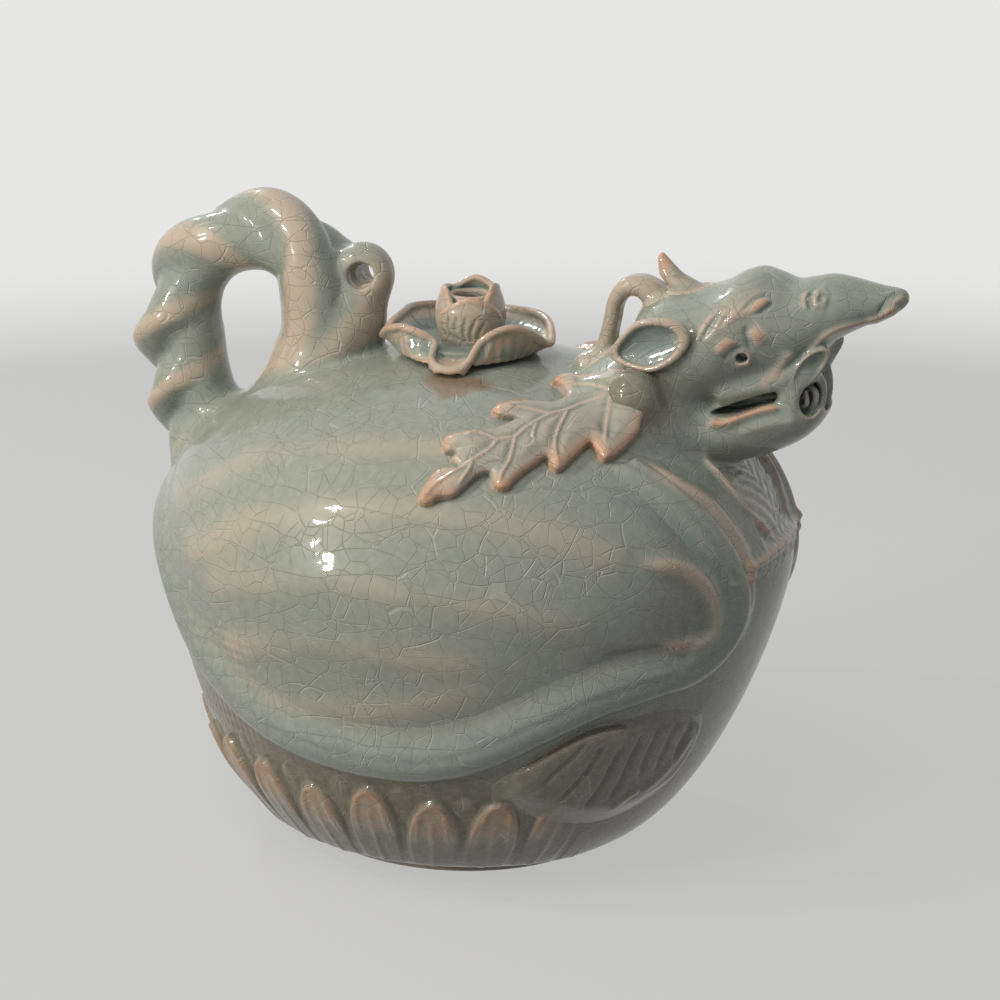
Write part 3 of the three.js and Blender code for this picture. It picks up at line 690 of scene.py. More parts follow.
# Lines modelled on the head: stops, height (negative for a groove), width, fading at both ends, warmth.
HEAD_LINES = [
    # brow swell, its flames with the grooves between them, and the curl before them
    ([(71, 20.8, 162), (76, 19.6, 167), (83, 16.6, 172.5), (90, 12.8, 175.8), (95, 10.5, 176.5)],
     0.6, 5.3, 0.4, 0.4, 0.5),
    ([(72.2, 21.2, 161.6), (74.3, 19.7, 166.1), (76.2, 17.7, 169.7), (79, 15.4, 173.2)],
     0.5, 1.3, 0.4, 0.4, 0.4),
    ([(73.8, 20.9, 162.4), (76.2, 19.3, 167.2), (78.1, 17.7, 170.4), (80.6, 16, 173.2)],
     -0.7, 0.8, 0.4, 0.4, -0.4),
    ([(76, 20.6, 163.4), (79.1, 19, 168.3), (81, 17.4, 171.5), (83.6, 15.6, 174.2)],
     0.5, 1.3, 0.4, 0.4, 0.4),
    ([(78.8, 19.4, 166.8), (80.7, 17.9, 170.6), (83, 16.2, 173.6)], -0.7, 0.8, 0.4, 0.4, -0.4),
    ([(80, 19, 168), (83, 17.5, 171.2), (85.5, 15.8, 173.5), (88, 13.4, 176.3)],
     0.5, 1.3, 0.4, 0.4, 0.5),
    ([(83.4, 17.6, 170.8), (86.3, 15.4, 174), (89.5, 12.6, 176.5), (93.8, 10.9, 176.4)],
     -0.7, 0.7, 0.4, 0.35, -0.4),
    ([(86.2, 16.4, 172.2), (88.6, 14.8, 174), (90.6, 13.2, 175.3), (93, 12, 175.8)],
     0.9, 1.7, 0.4, 0.4, 1.0),
    ([(87, 16.3, 171.7), (90.2, 15, 172.7), (92.2, 13.3, 174.5), (93.6, 12, 175.4)],
     -0.7, 0.7, 0.4, 0.35, -0.4),
    # eye: lids and the lobe before it
    ([(81.2, 18.9, 157.9), (82, 19.1, 160.7), (84, 18.6, 162.7), (86.7, 17.6, 163.2)],
     -0.6, 0.8, 0.3, 0.3, -0.3),
    ([(78.6, 20.4, 159.9), (80.5, 20, 162.5), (82.7, 19.3, 163.9), (86.6, 18, 164.6)],
     0.8, 1.8, 0.4, 0.4, 1.2),
    ([(82.5, 18, 157.2), (84.6, 17, 156.9), (87, 16.4, 157.6), (88.7, 16, 159.2)],
     0.3, 0.9, 0.3, 0.3, 0.2),
    ([(89.2, 16.4, 171), (89.9, 16.7, 167.7), (90.1, 16.7, 165.2), (89.4, 16.4, 161.4)],
     1.0, 2.6, 0.45, 0.45, 1.5),
    ([(87, 17.3, 169.9), (87, 17.6, 167.1), (87.7, 17.4, 164), (88.9, 16.6, 161.2)],
     -0.6, 0.8, 0.3, 0.3, -0.2),
    # folds of the neck behind the mouth
    ([(59.8, 13.5, 140.8), (63.2, 18.1, 147.4), (65.9, 20.6, 152.2)], 0.3, 1.0, 0.3, 0.3, 0.4),
    ([(64.2, 17.5, 136.7), (65, 16.2, 141.2), (66.7, 17, 144.6), (69.3, 18.5, 147)],
     0.3, 0.9, 0.3, 0.3, 0.5),
    ([(68.1, 18.5, 134.8), (69.4, 18.2, 139), (69.4, 18.2, 142), (72.5, 19, 148.5)],
     0.2, 0.9, 0.3, 0.3, 0.3),
    # nostril
    ([(103, 8.5, 178.2), (105.5, 9.4, 176.8), (108.5, 8.8, 176.4)], 0.9, 3.0, 0.2, 0.3, 0.3),
    ([(102.5, 8.1, 178.1), (101.3, 9, 177.2), (101.3, 10.8, 175.1), (103.1, 11.7, 173.3)],
     0.5, 0.8, 0.2, 0.2, 0.5),
    ([(103.9, 8.4, 178.2), (102.8, 9.4, 176.8), (103, 10.8, 174.9), (104.6, 11.2, 173.8)],
     -0.6, 0.7, 0.2, 0.2, 0),
    ([(105.4, 8.6, 178.1), (104.3, 9.8, 176.6), (104.7, 10.8, 175), (106.2, 11, 174.2)],
     0.4, 0.7, 0.2, 0.2, 0.4),
    ([(107.2, 8.4, 178), (106, 9.6, 176.8), (106.3, 10.3, 175.4)], -0.7, 0.9, 0.1, 0.2, -0.1),
    # the snout's lower edge, the hollow under it and the loop at its tip
    ([(127, 2.2, 174.6), (124, 4.3, 172.4), (120.7, 6, 170.8), (115.7, 7.8, 169.3), (111.4, 9.4, 168),
      (107.2, 10.4, 165.6), (101, 10.6, 159.6)], 1.1, 1.2, 0.1, 0.2, 0.9),
    ([(121, 2.2, 168.8), (116, 3.4, 166.4), (111, 5, 164), (107, 6.6, 161.6)],
     -1.3, 2.4, 0.2, 0.3, -0.2),
    ([(127.3, 2, 178.3), (124.6, 3.7, 177.6), (122.2, 5.4, 174.6), (121, 5.8, 172)],
     -0.5, 0.6, 0.2, 0.3, 0),
    ([(128.2, 1.4, 177.4), (126, 3.4, 176.2), (123.8, 5, 173.6), (121.6, 5.8, 171.6)],
     0.5, 0.9, 0.2, 0.3, 0.5),
    # upper lip
    ([(89, 14.4, 151.4), (92, 13.8, 152.6), (95, 12.8, 155.4), (97.7, 12.2, 159.4), (100, 11.8, 162.4)],
     1.3, 1.8, 0.3, 0.2, 0.9),
    ([(79, 17.5, 145.2), (84, 16.2, 147.2), (90, 14.2, 149.4), (95, 12.6, 150.8)],
     0.7, 1.6, 0.3, 0.2, 0.1),
    # lower lip, jaw edge and folds behind the mouth
    ([(76.8, 17.2, 141.2), (78.8, 17, 140.3), (81.6, 16.6, 140.6), (84.5, 15.8, 142),
      (88.6, 14.4, 143.7), (93.2, 13, 145), (97.6, 12.2, 145.4)], 1.7, 1.4, 0.1, 0.15, 1.3),
    ([(84, 16.4, 136.6), (90, 14.8, 139.2), (96, 13.2, 141), (102, 10.8, 140.8)],
     0.6, 1.6, 0.3, 0.2, 0.2),
]
# The mouth's slot: x and height of its middle line, its two ends and half its height.
SLOT_LINE = [(77.4, 142.3), (81, 142.9), (86, 144.6), (91, 146.6), (95.6, 147.8)]


SLOT_BACK = 76.8
SLOT_FRONT = 95.8
SLOT_HALF = 1.7
# The hollow inside it by x: the height of its middle, half its height and half its width.
HOLLOW_MIDDLE = [(70, 143.5), (80, 145.5), (92, 147.4), (108, 148)]
HOLLOW_TALL = [(70, 3.2), (96, 4.2), (104, 5.2), (108, 5.6)]
HOLLOW_WIDE = [(70, 5), (92, 8.4), (103, 8), (108, 7.6)]
HOLLOW_BACK = 72
EYE_AT = (85.2, 14.6, 160.2)
EYE_RADIUS = 3.9
PUPIL_AT = (85.9, 17, 159.9)
PUPIL_RADIUS = 1.65
PUPIL_FLOOR = 14.2  # how far from the middle plane its hole ends
FACING = np.array([0.327, 0.899, 0.292])  # level with the head's side and out of it


def head_lines(p):
    """The head's lines; how deep under the skin a stop lies matters little."""
    return modelled_lines(p, HEAD_LINES, FACING, 0.35)


def oval_frame(p, at, long, out):
    """Places of points along an oval, across it and out of its plane."""
    long = long / np.linalg.norm(long)
    out = out - (out @ long) * long
    out /= np.linalg.norm(out)
    q = p - at
    return q @ long, q @ np.cross(long, out), q @ out


VOLUTE_AT = np.array([103, 8.6, 157.4])
VOLUTE_LONG = np.array([0.66, -0.05, 0.75])
VOLUTE_OUT = np.array([0.3, 0.86, -0.41])


def volute(p):
    """The scroll of the upper lip: an oval dish with a rim."""
    a, b, n = oval_frame(p, VOLUTE_AT, VOLUTE_LONG, VOLUTE_OUT)
    e = np.hypot(a / 7.6, b / 3.6)
    side = (e - 1) * 3.6
    top = n - 1.2 - 1.0 * bell(e - 0.86, 0.16) + 1.5 * bell(e, 0.62)
    return smooth_max(smooth_max(side, top, 1.0), -n - 5, 1.0)


LIP = [
    (80, 13.6, 148, 2), (85, 12.6, 149.6, 2.6), (91, 11, 151.2, 3), (96, 9.2, 152.8, 3.4),
    (101, 7.4, 154.4, 3.6),
]
CHEEK = [(98.2, 7.4, 142, 3.6), (98.2, 8, 146, 4.2), (98.8, 7.8, 150, 4.4), (101, 6.4, 153.2, 4.2)]
CUP_AT = np.array([102.4, 6.8, 147.4])
CUP_OUT = np.array([0.72, 0.69, -0.04])
CUP_TALL = np.array([0.15, -0.098, 1.003])
TONGUE = [
    [(70, 0, 143, 4.6), (82, 0, 144, 4.4), (92, 0, 145, 4.0), (99, 0.5, 145.6, 3.2)],
    [(96, 3, 144, 2), (101.6, 5, 143, 1.2), (104.2, 6, 145, 1), (104.6, 6.2, 148.6, 1), (102, 5.4, 151, 1)],
    [(97, 5, 147, 1.4), (100.6, 7, 144.6, 0.9), (102.6, 7.8, 146, 0.8), (102, 7.6, 149, 0.8)],
]


def spout_cup(p):
    """The oval lip at each side of the spout's opening, and the hollow inside it."""
    a, b, n = oval_frame(p, CUP_AT, CUP_TALL, CUP_OUT)
    e = np.hypot(a / 6.5, b / 4.8)
    side = (e - 1) * 5.5
    wall = smooth_max(np.abs(side) - 1.1, np.abs(n + 2.6) - 3.2, 0.6)
    rim = np.hypot(side, n - 0.4) - 1.35
    return smooth_min(wall, rim, 0.6), np.maximum(side + 1.3, np.abs(n + 2) - 6.5)


def head_body(p):
    """Skull, jaw and neck as one form, before its lines, for y > 0."""
    both = smooth_min(upright_sections(p, SKULL), upright_sections(p, JAW), 2.5)
    return smooth_min(both, level_sections(p, NECK), 5)


def eyeball(p):
    return np.linalg.norm((p - EYE_AT) / (1, 1, 0.9), axis=1) - EYE_RADIUS


def pupil(p):
    """The pupil's hole, which rises a little on its way in."""
    x, y, z = (p - PUPIL_AT).T
    return np.maximum(np.hypot(x, z + 0.3 * y) - PUPIL_RADIUS, PUPIL_FLOOR - p[:, 1])


def mouth(p):
    """The open slot on each side, and the hollow between them that ends at the spout's opening."""
    x, y, z = p.T
    ends = np.clip((x - SLOT_BACK) / 7, 0.01, 1) * np.clip((SLOT_FRONT - x) / 2, 0.01, 1)
    slot = np.abs(z - value_at(SLOT_LINE, x) - 0.25) - SLOT_HALF * np.sqrt(ends)
    slot = np.maximum(slot, slab(x, SLOT_BACK, SLOT_FRONT))
    rise = (z - value_at(HOLLOW_MIDDLE, x)) / value_at(HOLLOW_TALL, x)
    hollow = (np.hypot(y / value_at(HOLLOW_WIDE, x), rise) - 1) * 4
    return smooth_min(slot, np.maximum(hollow, HOLLOW_BACK - x), 0.8)


def head_field(p):
    q = near_side(p)
    form = smooth_min(head_body(q), volute(q), 1.2)
    form = smooth_min(form, eyeball(q), 1.0) - head_lines(q)[0]
    form = smooth_max(form, -pupil(q), 0.5)
    form = smooth_min(form, strand(q, LIP, 4, 8), 4)
    form = smooth_max(form, -mouth(q), 0.7)
    form = smooth_min(form, strand(q, CHEEK, 4, 8), 1.5)
    cup, opening = spout_cup(q)
    form = smooth_max(smooth_min(form, cup, 1.2), -opening, 0.7)
    for stops in TONGUE:
        form = smooth_min(form, strand(q, stops, 5, 6), 0.8)
    return form


def head_piece_field(p):
    return luted(head_field(p), skin_field(near_side(p)), 2.0)


EAR_AT = np.array([59.8, 23, 162.2])
EAR_LONG = np.array([0.93, 0.1, 0.345])
EAR_OUT = np.array([-0.12, 0.97, 0.06])


def ear_place(p):
    """How far out in the ear's oval points lie, and their places along, across and out of it."""
    a, b, n = oval_frame(p, EAR_AT, EAR_LONG, EAR_OUT)
    pointed = 1 + 0.6 * smooth_step(-a, 0, 13)
    return np.hypot(a / 11.8, b * pointed / 6.9), a, b, n


def ear_field(p):
    """A shallow dish with a rolled rim on a thick back, for y > 0."""
    e, a, b, n = ear_place(p)
    side = (e - 1) * 8.2
    bow = n + 0.012 * a * a
    dish = bow + 2.3 * (1 - np.minimum(e, 1) ** 2) ** 0.7
    back = -(n + 9 * np.clip(1 - e * e, 0, 1) ** 0.9 + 1.0)
    shell = smooth_max(smooth_max(side, back, 2.0), dish, 0.8)
    rim = np.hypot((e - 0.94) * 8.2, bow + 0.4) - 1.1 - 0.25 * smooth_step(b, -2, 5)
    return smooth_min(shell, rim, 0.7)


def ear_piece_field(p):
    return luted(ear_field(p), head_body(p), 1.0)


# Level sections of the horn: height, rearmost, foremost, half width.
HORN = [
    (170, 59.9, 75.1, 5.2), (172.5, 59.4, 73.8, 5), (175, 59.1, 70.9, 4.3), (177, 57.45, 66.95, 3.6),
    (178.8, 56.4, 63.4, 2.9), (182.7, 56, 59.3, 1.5), (184.3, 56.7, 57.7, 0.5),
]


# The roll round the horn's foot: its middle's x and z, its two radii.
ROLL_AT = (65.2, 174.112)
ROLL_REACH = 7.4
ROLL_THICK = 0.7


def horn_field(p):
    q = near_side(p)
    x, z = q[:, 0] - ROLL_AT[0], q[:, 2] - ROLL_AT[1]
    roll = np.hypot(np.hypot(x, 1.45 * q[:, 1]) - ROLL_REACH, z - 0.16 * x) - ROLL_THICK
    return luted(smooth_min(level_sections(q, HORN), roll, 1.0), head_body(q), 1.5)


LOOP = [
    (36, 0, 149.5, 4.4), (40, 0, 153.4, 3), (41.4, 0, 158, 2.4), (42.7, 0, 164, 2.2),
    (43.9, 0, 169.6, 2.3), (47, 0, 173.6, 2.7), (51.2, 0, 174.3, 3.1), (54.8, 0, 172.6, 3.6),
    (58, 0, 170, 4),
]


def loop_field(p):
    """The strap from the head's back to the dome, wider across the ewer than it is thick."""
    q = near_side(p)
    flat = q.copy()
    flat[:, 1] = np.maximum(q[:, 1] - 1.8, 0)
    strap = strand(flat, LOOP, 6, 10)
    return luted(strap, smooth_min(head_body(q), skin_field(q), 2), 3)


KNOB_AT = (56.9, 24.0, 146.6)
KNOB_RADIUS = 8.1


def knob_field(p):
    knob = np.linalg.norm((p - KNOB_AT) / (1, 0.9, 1.1), axis=1) - KNOB_RADIUS
    return luted(knob, smooth_min(head_body(p), skin_field(p), 2), 4)

# The handle's middle line: x, z, reach of its inner strip, the stems' offset from it, their radius.
HANDLE = [
    (-78, 100, 14, 6.5, 9.5), (-87, 110, 15, 5.2, 8.6), (-92.5, 119, 16, 4.6, 8.1),
    (-96.2, 135, 15, 5.2, 7.7), (-97, 148, 14, 6.6, 7.9), (-96.3, 159, 12.6, 5.6, 7.7),
    (-93, 169, 12.4, 4.4, 7.8), (-86, 177, 12.4, 3.6, 8), (-76, 181.7, 12.4, 3.6, 8),
    (-64, 182.4, 12.4, 4.8, 8.2), (-53, 176.5, 12.6, 5.8, 8.8), (-47.6, 165, 14.4, 6.2, 9.6),
    (-46.8, 152, 15, 6, 10.4), (-50.5, 140, 15.5, 7, 11.4), (-54, 126, 16, 8, 12),
]
HANDLE_LENGTH = 173.1
# How the two stems turn at places along the handle, in degrees: 0 is the near face, 90 outward.
STEM_TURNS = [
    [(0, 150), (20, 0), (30.6, -90), (38.8, -180), (48.8, -270), (60.6, -360), (74.7, -450), (89.5, -540),
     (105.1, -630), (123, -715), (136, -741), (150, -745), (162, -775), (175, -800)],
    [(0, 330), (20, 180), (30.6, 90), (38.8, 0), (48.8, -90), (60.6, -180), (74.7, -270), (89.5, -360),
     (105.1, -450), (123, -545), (134, -625), (143, -670), (150.6, -698), (162, -735), (175, -750)],
]
LUG_AT = (-33.9, 172.0)
LUG_RADIUS = 7.8
LUG_THICK = 4.6
LUG_ROUND = 3.8  # of its edges
LUG_BORE = 3.0
LUG_WEB = [(-37, 0, 173, 6.2), (-35.6, 0, 165, 6.8), (-35.8, 0, 157, 7.2), (-39, 0, 147, 9)]


def handle_table():
    path = smooth_path(HANDLE, 12)
    slope = np.gradient(path[:, :2], axis=0)
    step = np.linalg.norm(slope, axis=1)
    passed = np.concatenate([[0], np.cumsum((step[1:] + step[:-1]) / 2)])
    return np.column_stack([path, slope, np.gradient(slope, axis=0), passed * HANDLE_LENGTH / passed[-1]])


HANDLE_TABLE = handle_table()


def along_handle(x, z):
    """Where places lie beside the handle: its table's values there and the offset, outward positive."""
    coarse = HANDLE_TABLE[::3, :2]
    away = (coarse**2).sum(1) - 2 * (np.outer(x, coarse[:, 0]) + np.outer(z, coarse[:, 1]))
    last = len(HANDLE_TABLE) - 1.001
    at = np.minimum(away.argmin(1) * 3.0, last)
    for _ in range(6):
        i = at.astype(int)
        row = HANDLE_TABLE[i] + (at - i)[:, None] * (HANDLE_TABLE[i + 1] - HANDLE_TABLE[i])
        dx, dz, tx, tz = x - row[:, 0], z - row[:, 1], row[:, 5], row[:, 6]
        square = tx * tx + tz * tz
        curve = np.maximum(square - dx * row[:, 7] - dz * row[:, 8], 0.3 * square)
        at = np.clip(at + np.clip((dx * tx + dz * tz) / curve, -2, 2), 0, last)
    size = np.hypot(tx, tz)
    beyond = np.abs(dx * tx + dz * tz) / size
    return row, (dz * tx - dx * tz) / size, beyond


def handle_field(p):
    """Two stems wound round each other on a smooth inner strip, and the cord lug."""
    row, b, beyond = along_handle(p[:, 0], p[:, 2])
    inner, offset, radius, passed = row[:, 2], row[:, 3], row[:, 4], row[:, 9]
    form = np.hypot(p[:, 1] * 0.85, b + inner - 8.6) - 8.6
    stems = []
    for turns in STEM_TURNS:
        turn = np.radians(value_at(turns, passed))
        out = offset * np.sin(turn)
        stems.append(np.hypot(p[:, 1] + offset * np.cos(turn), b - np.maximum(out, 0.45 * out)) - radius)
    form = smooth_min(smooth_min(*stems, 1.8), form, 3.5) + beyond
    q = near_side(p)
    form = smooth_min(form, strand(q, LUG_WEB, 4, 12), 4)
    ring = np.hypot(p[:, 0] - LUG_AT[0], p[:, 2] - LUG_AT[1])
    lug = np.hypot(np.maximum(ring - LUG_RADIUS + LUG_ROUND, 0),
                   np.maximum(q[:, 1] - LUG_THICK + LUG_ROUND, 0)) - LUG_ROUND
    form = smooth_min(form, lug, 6)
    bore = LUG_BORE + 0.8 * smooth_step(q[:, 1], LUG_THICK - 2, LUG_THICK) - ring
    return smooth_max(form, bore, 1.2)


def handle_warmth(p):
    """Pink along each stem's crest and cool between them, for vertices of the handle."""
    row, b, _ = along_handle(p[:, 0], p[:, 2])
    offset, passed = row[:, 3], row[:, 9]
    nearest, crest = np.full((2, len(p)), 99.0)
    for turns in STEM_TURNS:
        turn = np.radians(value_at(turns, passed))
        across, out = -np.cos(turn), np.sin(turn)
        side, rise = p[:, 1] - offset * across, b - offset * out
        away = np.hypot(side, rise) + 1e-6
        closer = away < nearest
        nearest[closer] = away[closer]
        crest[closer] = ((side * across + rise * out) / away)[closer]
    return 1.05 * smooth_step(crest, 0.35, 1.1) - 0.15


def handle_piece_field(p):
    skin = skin_field(near_side(p))
    return luted(handle_field(p), skin, 3 + 4 * smooth_step(-p[:, 0], 58, 66))

# Reliefs pressed on to the ewer, drawn in a plane of their own as (along, across).
PRESSED_CELL = 0.3
PRESSED_MARGIN = 4.0
PRESSED_DEPTH = 1.2  # under the ground


def inside_outline(place, outline):
    """Whether places of a plane lie inside a closed outline."""
    u, v = place.T
    crossings = np.zeros(len(place), int)
    for (a, b), (c, d) in zip(outline, np.roll(outline, -1, 0)):
        crossings += ((b > v) != (d > v)) & (u < (c - a) * (v - b) / (d - b + 1e-9) + a)
    return crossings % 2 == 1


def pressed(origin, along, across, outline, model):
    """A relief's grid: its frame, and at each place the edge's distance, the height and the warmth."""
    closed = np.array(outline + outline[:1], float)
    low = closed.min(0) - PRESSED_MARGIN
    counts = np.ceil((closed.max(0) + PRESSED_MARGIN - low) / PRESSED_CELL).astype(int)
    steps = np.stack(np.meshgrid(*map(np.arange, counts), indexing="ij"), -1)
    place = low + PRESSED_CELL * steps.reshape(-1, 2)
    path = smooth_path(closed, 4)
    gap, _, _ = beside(place, path, 60)
    edge = np.where(inside_outline(place, path[:-1]), gap, -gap)
    height, warm = model(place, edge)
    height = np.where(edge > 0, height, np.minimum(height, 0) + 0.6 * edge)
    axes = np.stack([np.array(a) / np.linalg.norm(a) for a in (along, across)], 1)
    return np.array(origin), axes, low, np.stack([edge, height, warm], 1).reshape(*counts, 3)


def on_pressed(relief_grid, p):
    """A relief's edge distance, height and warmth under points beside it."""
    origin, axes, low, grid = relief_grid
    return between(grid, *(((p - origin) @ axes - low) / PRESSED_CELL).T).T


LEAF_OUTLINE = [
    (73.9, 0.1), (72.9, -1.4), (69.8, -3.2), (65.1, -5), (62.1, -4.3), (59.5, -2.5), (59.4, -5.4),
    (57.1, -6.3), (58.7, -8.3), (58, -10.4), (55.3, -12.5), (51.9, -11.9), (47.5, -9.9), (42.5, -7.1),
    (35.5, -6.5), (38.5, -9.9), (38.4, -12.7), (34.6, -14), (30.1, -12.5), (26.2, -9.7), (22.2, -6),
    (16.6, -6.3), (14.7, -9.9), (14.8, -13.3), (11.2, -14.3), (7.8, -12.8), (6.4, -8.4), (4.1, -5.5),
    (1.6, -3.4), (-0.3, 5.2), (4.2, 11.9), (8.3, 15.1), (10.7, 16.9), (19.6, 18.9), (24.1, 18.9),
    (24.5, 16.2), (24.1, 12.1), (29, 12.9), (33.4, 14), (38, 14.7), (38.7, 11.9), (37.9, 9.4), (43, 9.5),
    (48.9, 10.2), (52.7, 11.2), (55.1, 10.2), (55.3, 7.6), (53.9, 4.5), (56.9, 3.2), (61.5, 3.8),
    (65.9, 4.4), (69, 2.5), (71.7, 2.4), (73.3, 1.5),
]
LEAF_VEINS = [
    [(73, -0.1), (68.4, -1), (60.9, -1.1), (50.4, -1), (45.9, -2.2), (41.3, -0.4), (36.8, -1.2), (28.2, -1.6),
     (22.1, -0.3), (16.4, 0.1), (11.2, 2), (8.1, 2)],
    [(45.9, -2.2), (48.3, -8), (52, -9.3)],
    [(27, -1.4), (30.2, -5.8), (33.2, -9.6), (36, -10.7)],
    [(8.4, 2.1), (11.1, -5.6), (12.9, -9.7)],
    [(41.3, -0.4), (47.6, 4.8), (52.2, 7.1), (54.7, 9.3)],
    [(33.1, -1.1), (35.9, 1), (38.3, 3.2)],
    [(22.3, -0.1), (32.5, 6.3), (37.8, 13.6)],
    [(8.3, 2.3), (12.7, 6), (23.8, 17.2)],
    [(55.8, -1.4), (58, 0.5), (64.2, 3.2)],
]


def leaf_model(place, edge):
    """A fleshy lobed leaf with rounded edges and thin raised veins."""
    vein, groove = np.zeros((2, len(place)))
    for stops in LEAF_VEINS:
        gap, share, _ = beside(place, smooth_path(stops), 6)
        vein = np.maximum(vein, bell(gap, 0.6) * fade(share, 0, 0.25))
        groove = np.maximum(groove, bell(gap, 1.9) * fade(share, 0, 0.25))
    spine, _, _ = beside(place, smooth_path(LEAF_VEINS[0]), 40)
    root = 1 - smooth_step(place[:, 0], 2, 26)
    body = np.sqrt(1 - (1 - np.clip((edge + 0.5) / 3, 0, 1)) ** 2)
    height = body * (3.4 + 1.0 * root) + 0.9 * smooth_step(edge, 1.5, 5) * (1 - groove)
    height += 0.7 * vein * smooth_step(edge, 0, 1.5)
    tips = (1 - smooth_step(edge, 1, 4.5)) * smooth_step(spine, 6, 12) + smooth_step(place[:, 0], 58, 71)
    return height, 1.2 * tips + 0.7 * vein + 0.45 - 0.1 * groove


LEAF = pressed((49, 12, 145.5), (-0.566, 0.749, -0.343), (0.709, 0.23, -0.667), LEAF_OUTLINE, leaf_model)

FLIPPER_OUTLINE = [
    (-31, 3), (-22, 9.5), (-10, 14.8), (3, 15.5), (18, 15), (30, 11), (31, 2), (26, -8), (16, -13),
    (4, -15), (-8, -13), (-20, -8), (-29, -3),
]
FLIPPER_LINES = [
    ([(-30.8, 3), (-22.1, 7.2), (-17.6, 9.8), (-10.3, 12.6), (-4.1, 12.8), (-0.4, 12), (1, 10)],
     1.1, 1.7, 0.12, 0.3, 0.7),
    ([(-10.4, 11.8), (-15, 6.4), (-18.3, 3), (-21, -1)], -0.9, 0.8, 0.12, 0.3, -0.5),
    ([(-5.6, 10.6), (-8.1, 3.3), (-11.5, -2.1), (-15, -6)], -1.0, 0.8, 0.12, 0.3, -0.5),
    ([(0.4, 9.2), (-3.3, -4.7), (-6, -9)], -1.1, 0.8, 0.12, 0.3, -0.5),
    ([(6.5, 11.7), (4.2, 3.9), (3.0, -3.8), (0, -9)], -1.0, 0.8, 0.12, 0.3, -0.4),
    ([(11.6, 12.7), (9.4, 4), (8.8, -3.9)], -0.8, 0.8, 0.12, 0.3, -0.3),
    ([(17, 12.5), (15, 4), (14, -3)], -0.6, 0.8, 0.12, 0.3, -0.2),
    ([(23, 11.5), (21, 4), (19.5, -4)], -0.6, 0.9, 0.12, 0.3, -0.2),
    ([(10.9, -6.6), (6, -9.1), (4.1, -10.8), (3.8, -12.8)], 0.9, 0.9, 0.12, 0.3, 0.8),
    ([(25, 7), (21, 0), (15, -6), (8, -9)], 0.7, 1.4, 0.12, 0.3, 0.4),
]


def flipper_model(place, edge):
    """A low mound of folded feathers under the rim."""
    height, warm = modelled_lines(place, FLIPPER_LINES)
    return 3.0 * smooth_step(edge, -0.6, 5) + height * smooth_step(edge, 0, 2), warm


FLIPPER = pressed((60, 50, 44), (0.62, -0.79, 0), (-0.25, -0.2, 0.95), FLIPPER_OUTLINE, flipper_model)


def pressed_field(p, relief_grid, base):
    """A pressed relief on its ground: its edge dips under the ground."""
    edge, height, _ = on_pressed(relief_grid, p)
    return np.maximum(np.maximum(base - height, -base - PRESSED_DEPTH), -edge - 0.7)


def leaf_field(p):
    return pressed_field(p, LEAF, smooth_min(head_body(p), skin_field(p), 2.0))


def flipper_field(p):
    return pressed_field(p, FLIPPER, skin_field(p))

# The lid
# The open flower's wavy rim: turn about the lid's axis, reach, height.
LID_RIM = [
    (-172, 22.6, 158.6), (-165, 24, 156.8), (-159, 25.1, 155.5), (-146, 24.3, 158.4),
    (-130, 22.4, 160.4), (-115, 20, 159.4), (-105, 18, 157.6), (-100.5, 18.4, 156.2),
    (-98.2, 20.6, 154.8), (-96, 23.3, 153.2), (-90, 25.7, 151.8), (-81, 26.5, 151.2), (-73, 25.9, 151.8),
    (-68, 24.3, 153.4), (-64.5, 22.7, 155.6), (-59, 21.6, 158.2), (-48, 22.8, 161.1), (-36, 24.2, 162),
    (-22, 25.3, 159.6), (-9, 26, 156), (1, 26.1, 155.4), (13, 25, 157.4), (40, 23.6, 159.3),
    (68, 22.6, 159.2), (100, 22, 159), (136, 23.3, 160), (154, 24.4, 160), (166, 22.7, 159.8),
    (177, 22, 159.4),
]
LID_RIM_RADIUS = 1.1
LID_FLOOR = 154.2
LID_UNDER = 151.5
LID_FOOT = 20.8  # radius at which the flower's wall rises from its underside
LID_FOOT_FRONT = 3.8  # further out under the front petals
LID_CELL = 0.4
LID_HALF = 30.0
FLANGE_INNER = 13.2
FLANGE_OUTER = 16.2
FLANGE_LOW = 142.5
FLANGE_TOP = 152.0
PLATE_RADIUS = 19.4
PLATE_LOW = 151.8
PLATE_TOP = 154.4


def lid_rim():
    """The rim as a closed run of turn, reach and height."""
    stops = np.array(LID_RIM, float)
    return smooth_path(np.concatenate([stops[-3:] - (360, 0, 0), stops, stops[:3] + (360, 0, 0)]), 8)


def from_axis(turn, reach, height, middle=(LID_X, 0.0)):
    turn = np.radians(turn)
    x, y = middle[0] + reach * np.cos(turn), middle[1] + reach * np.sin(turn)
    return np.stack([x, y, height], 1)


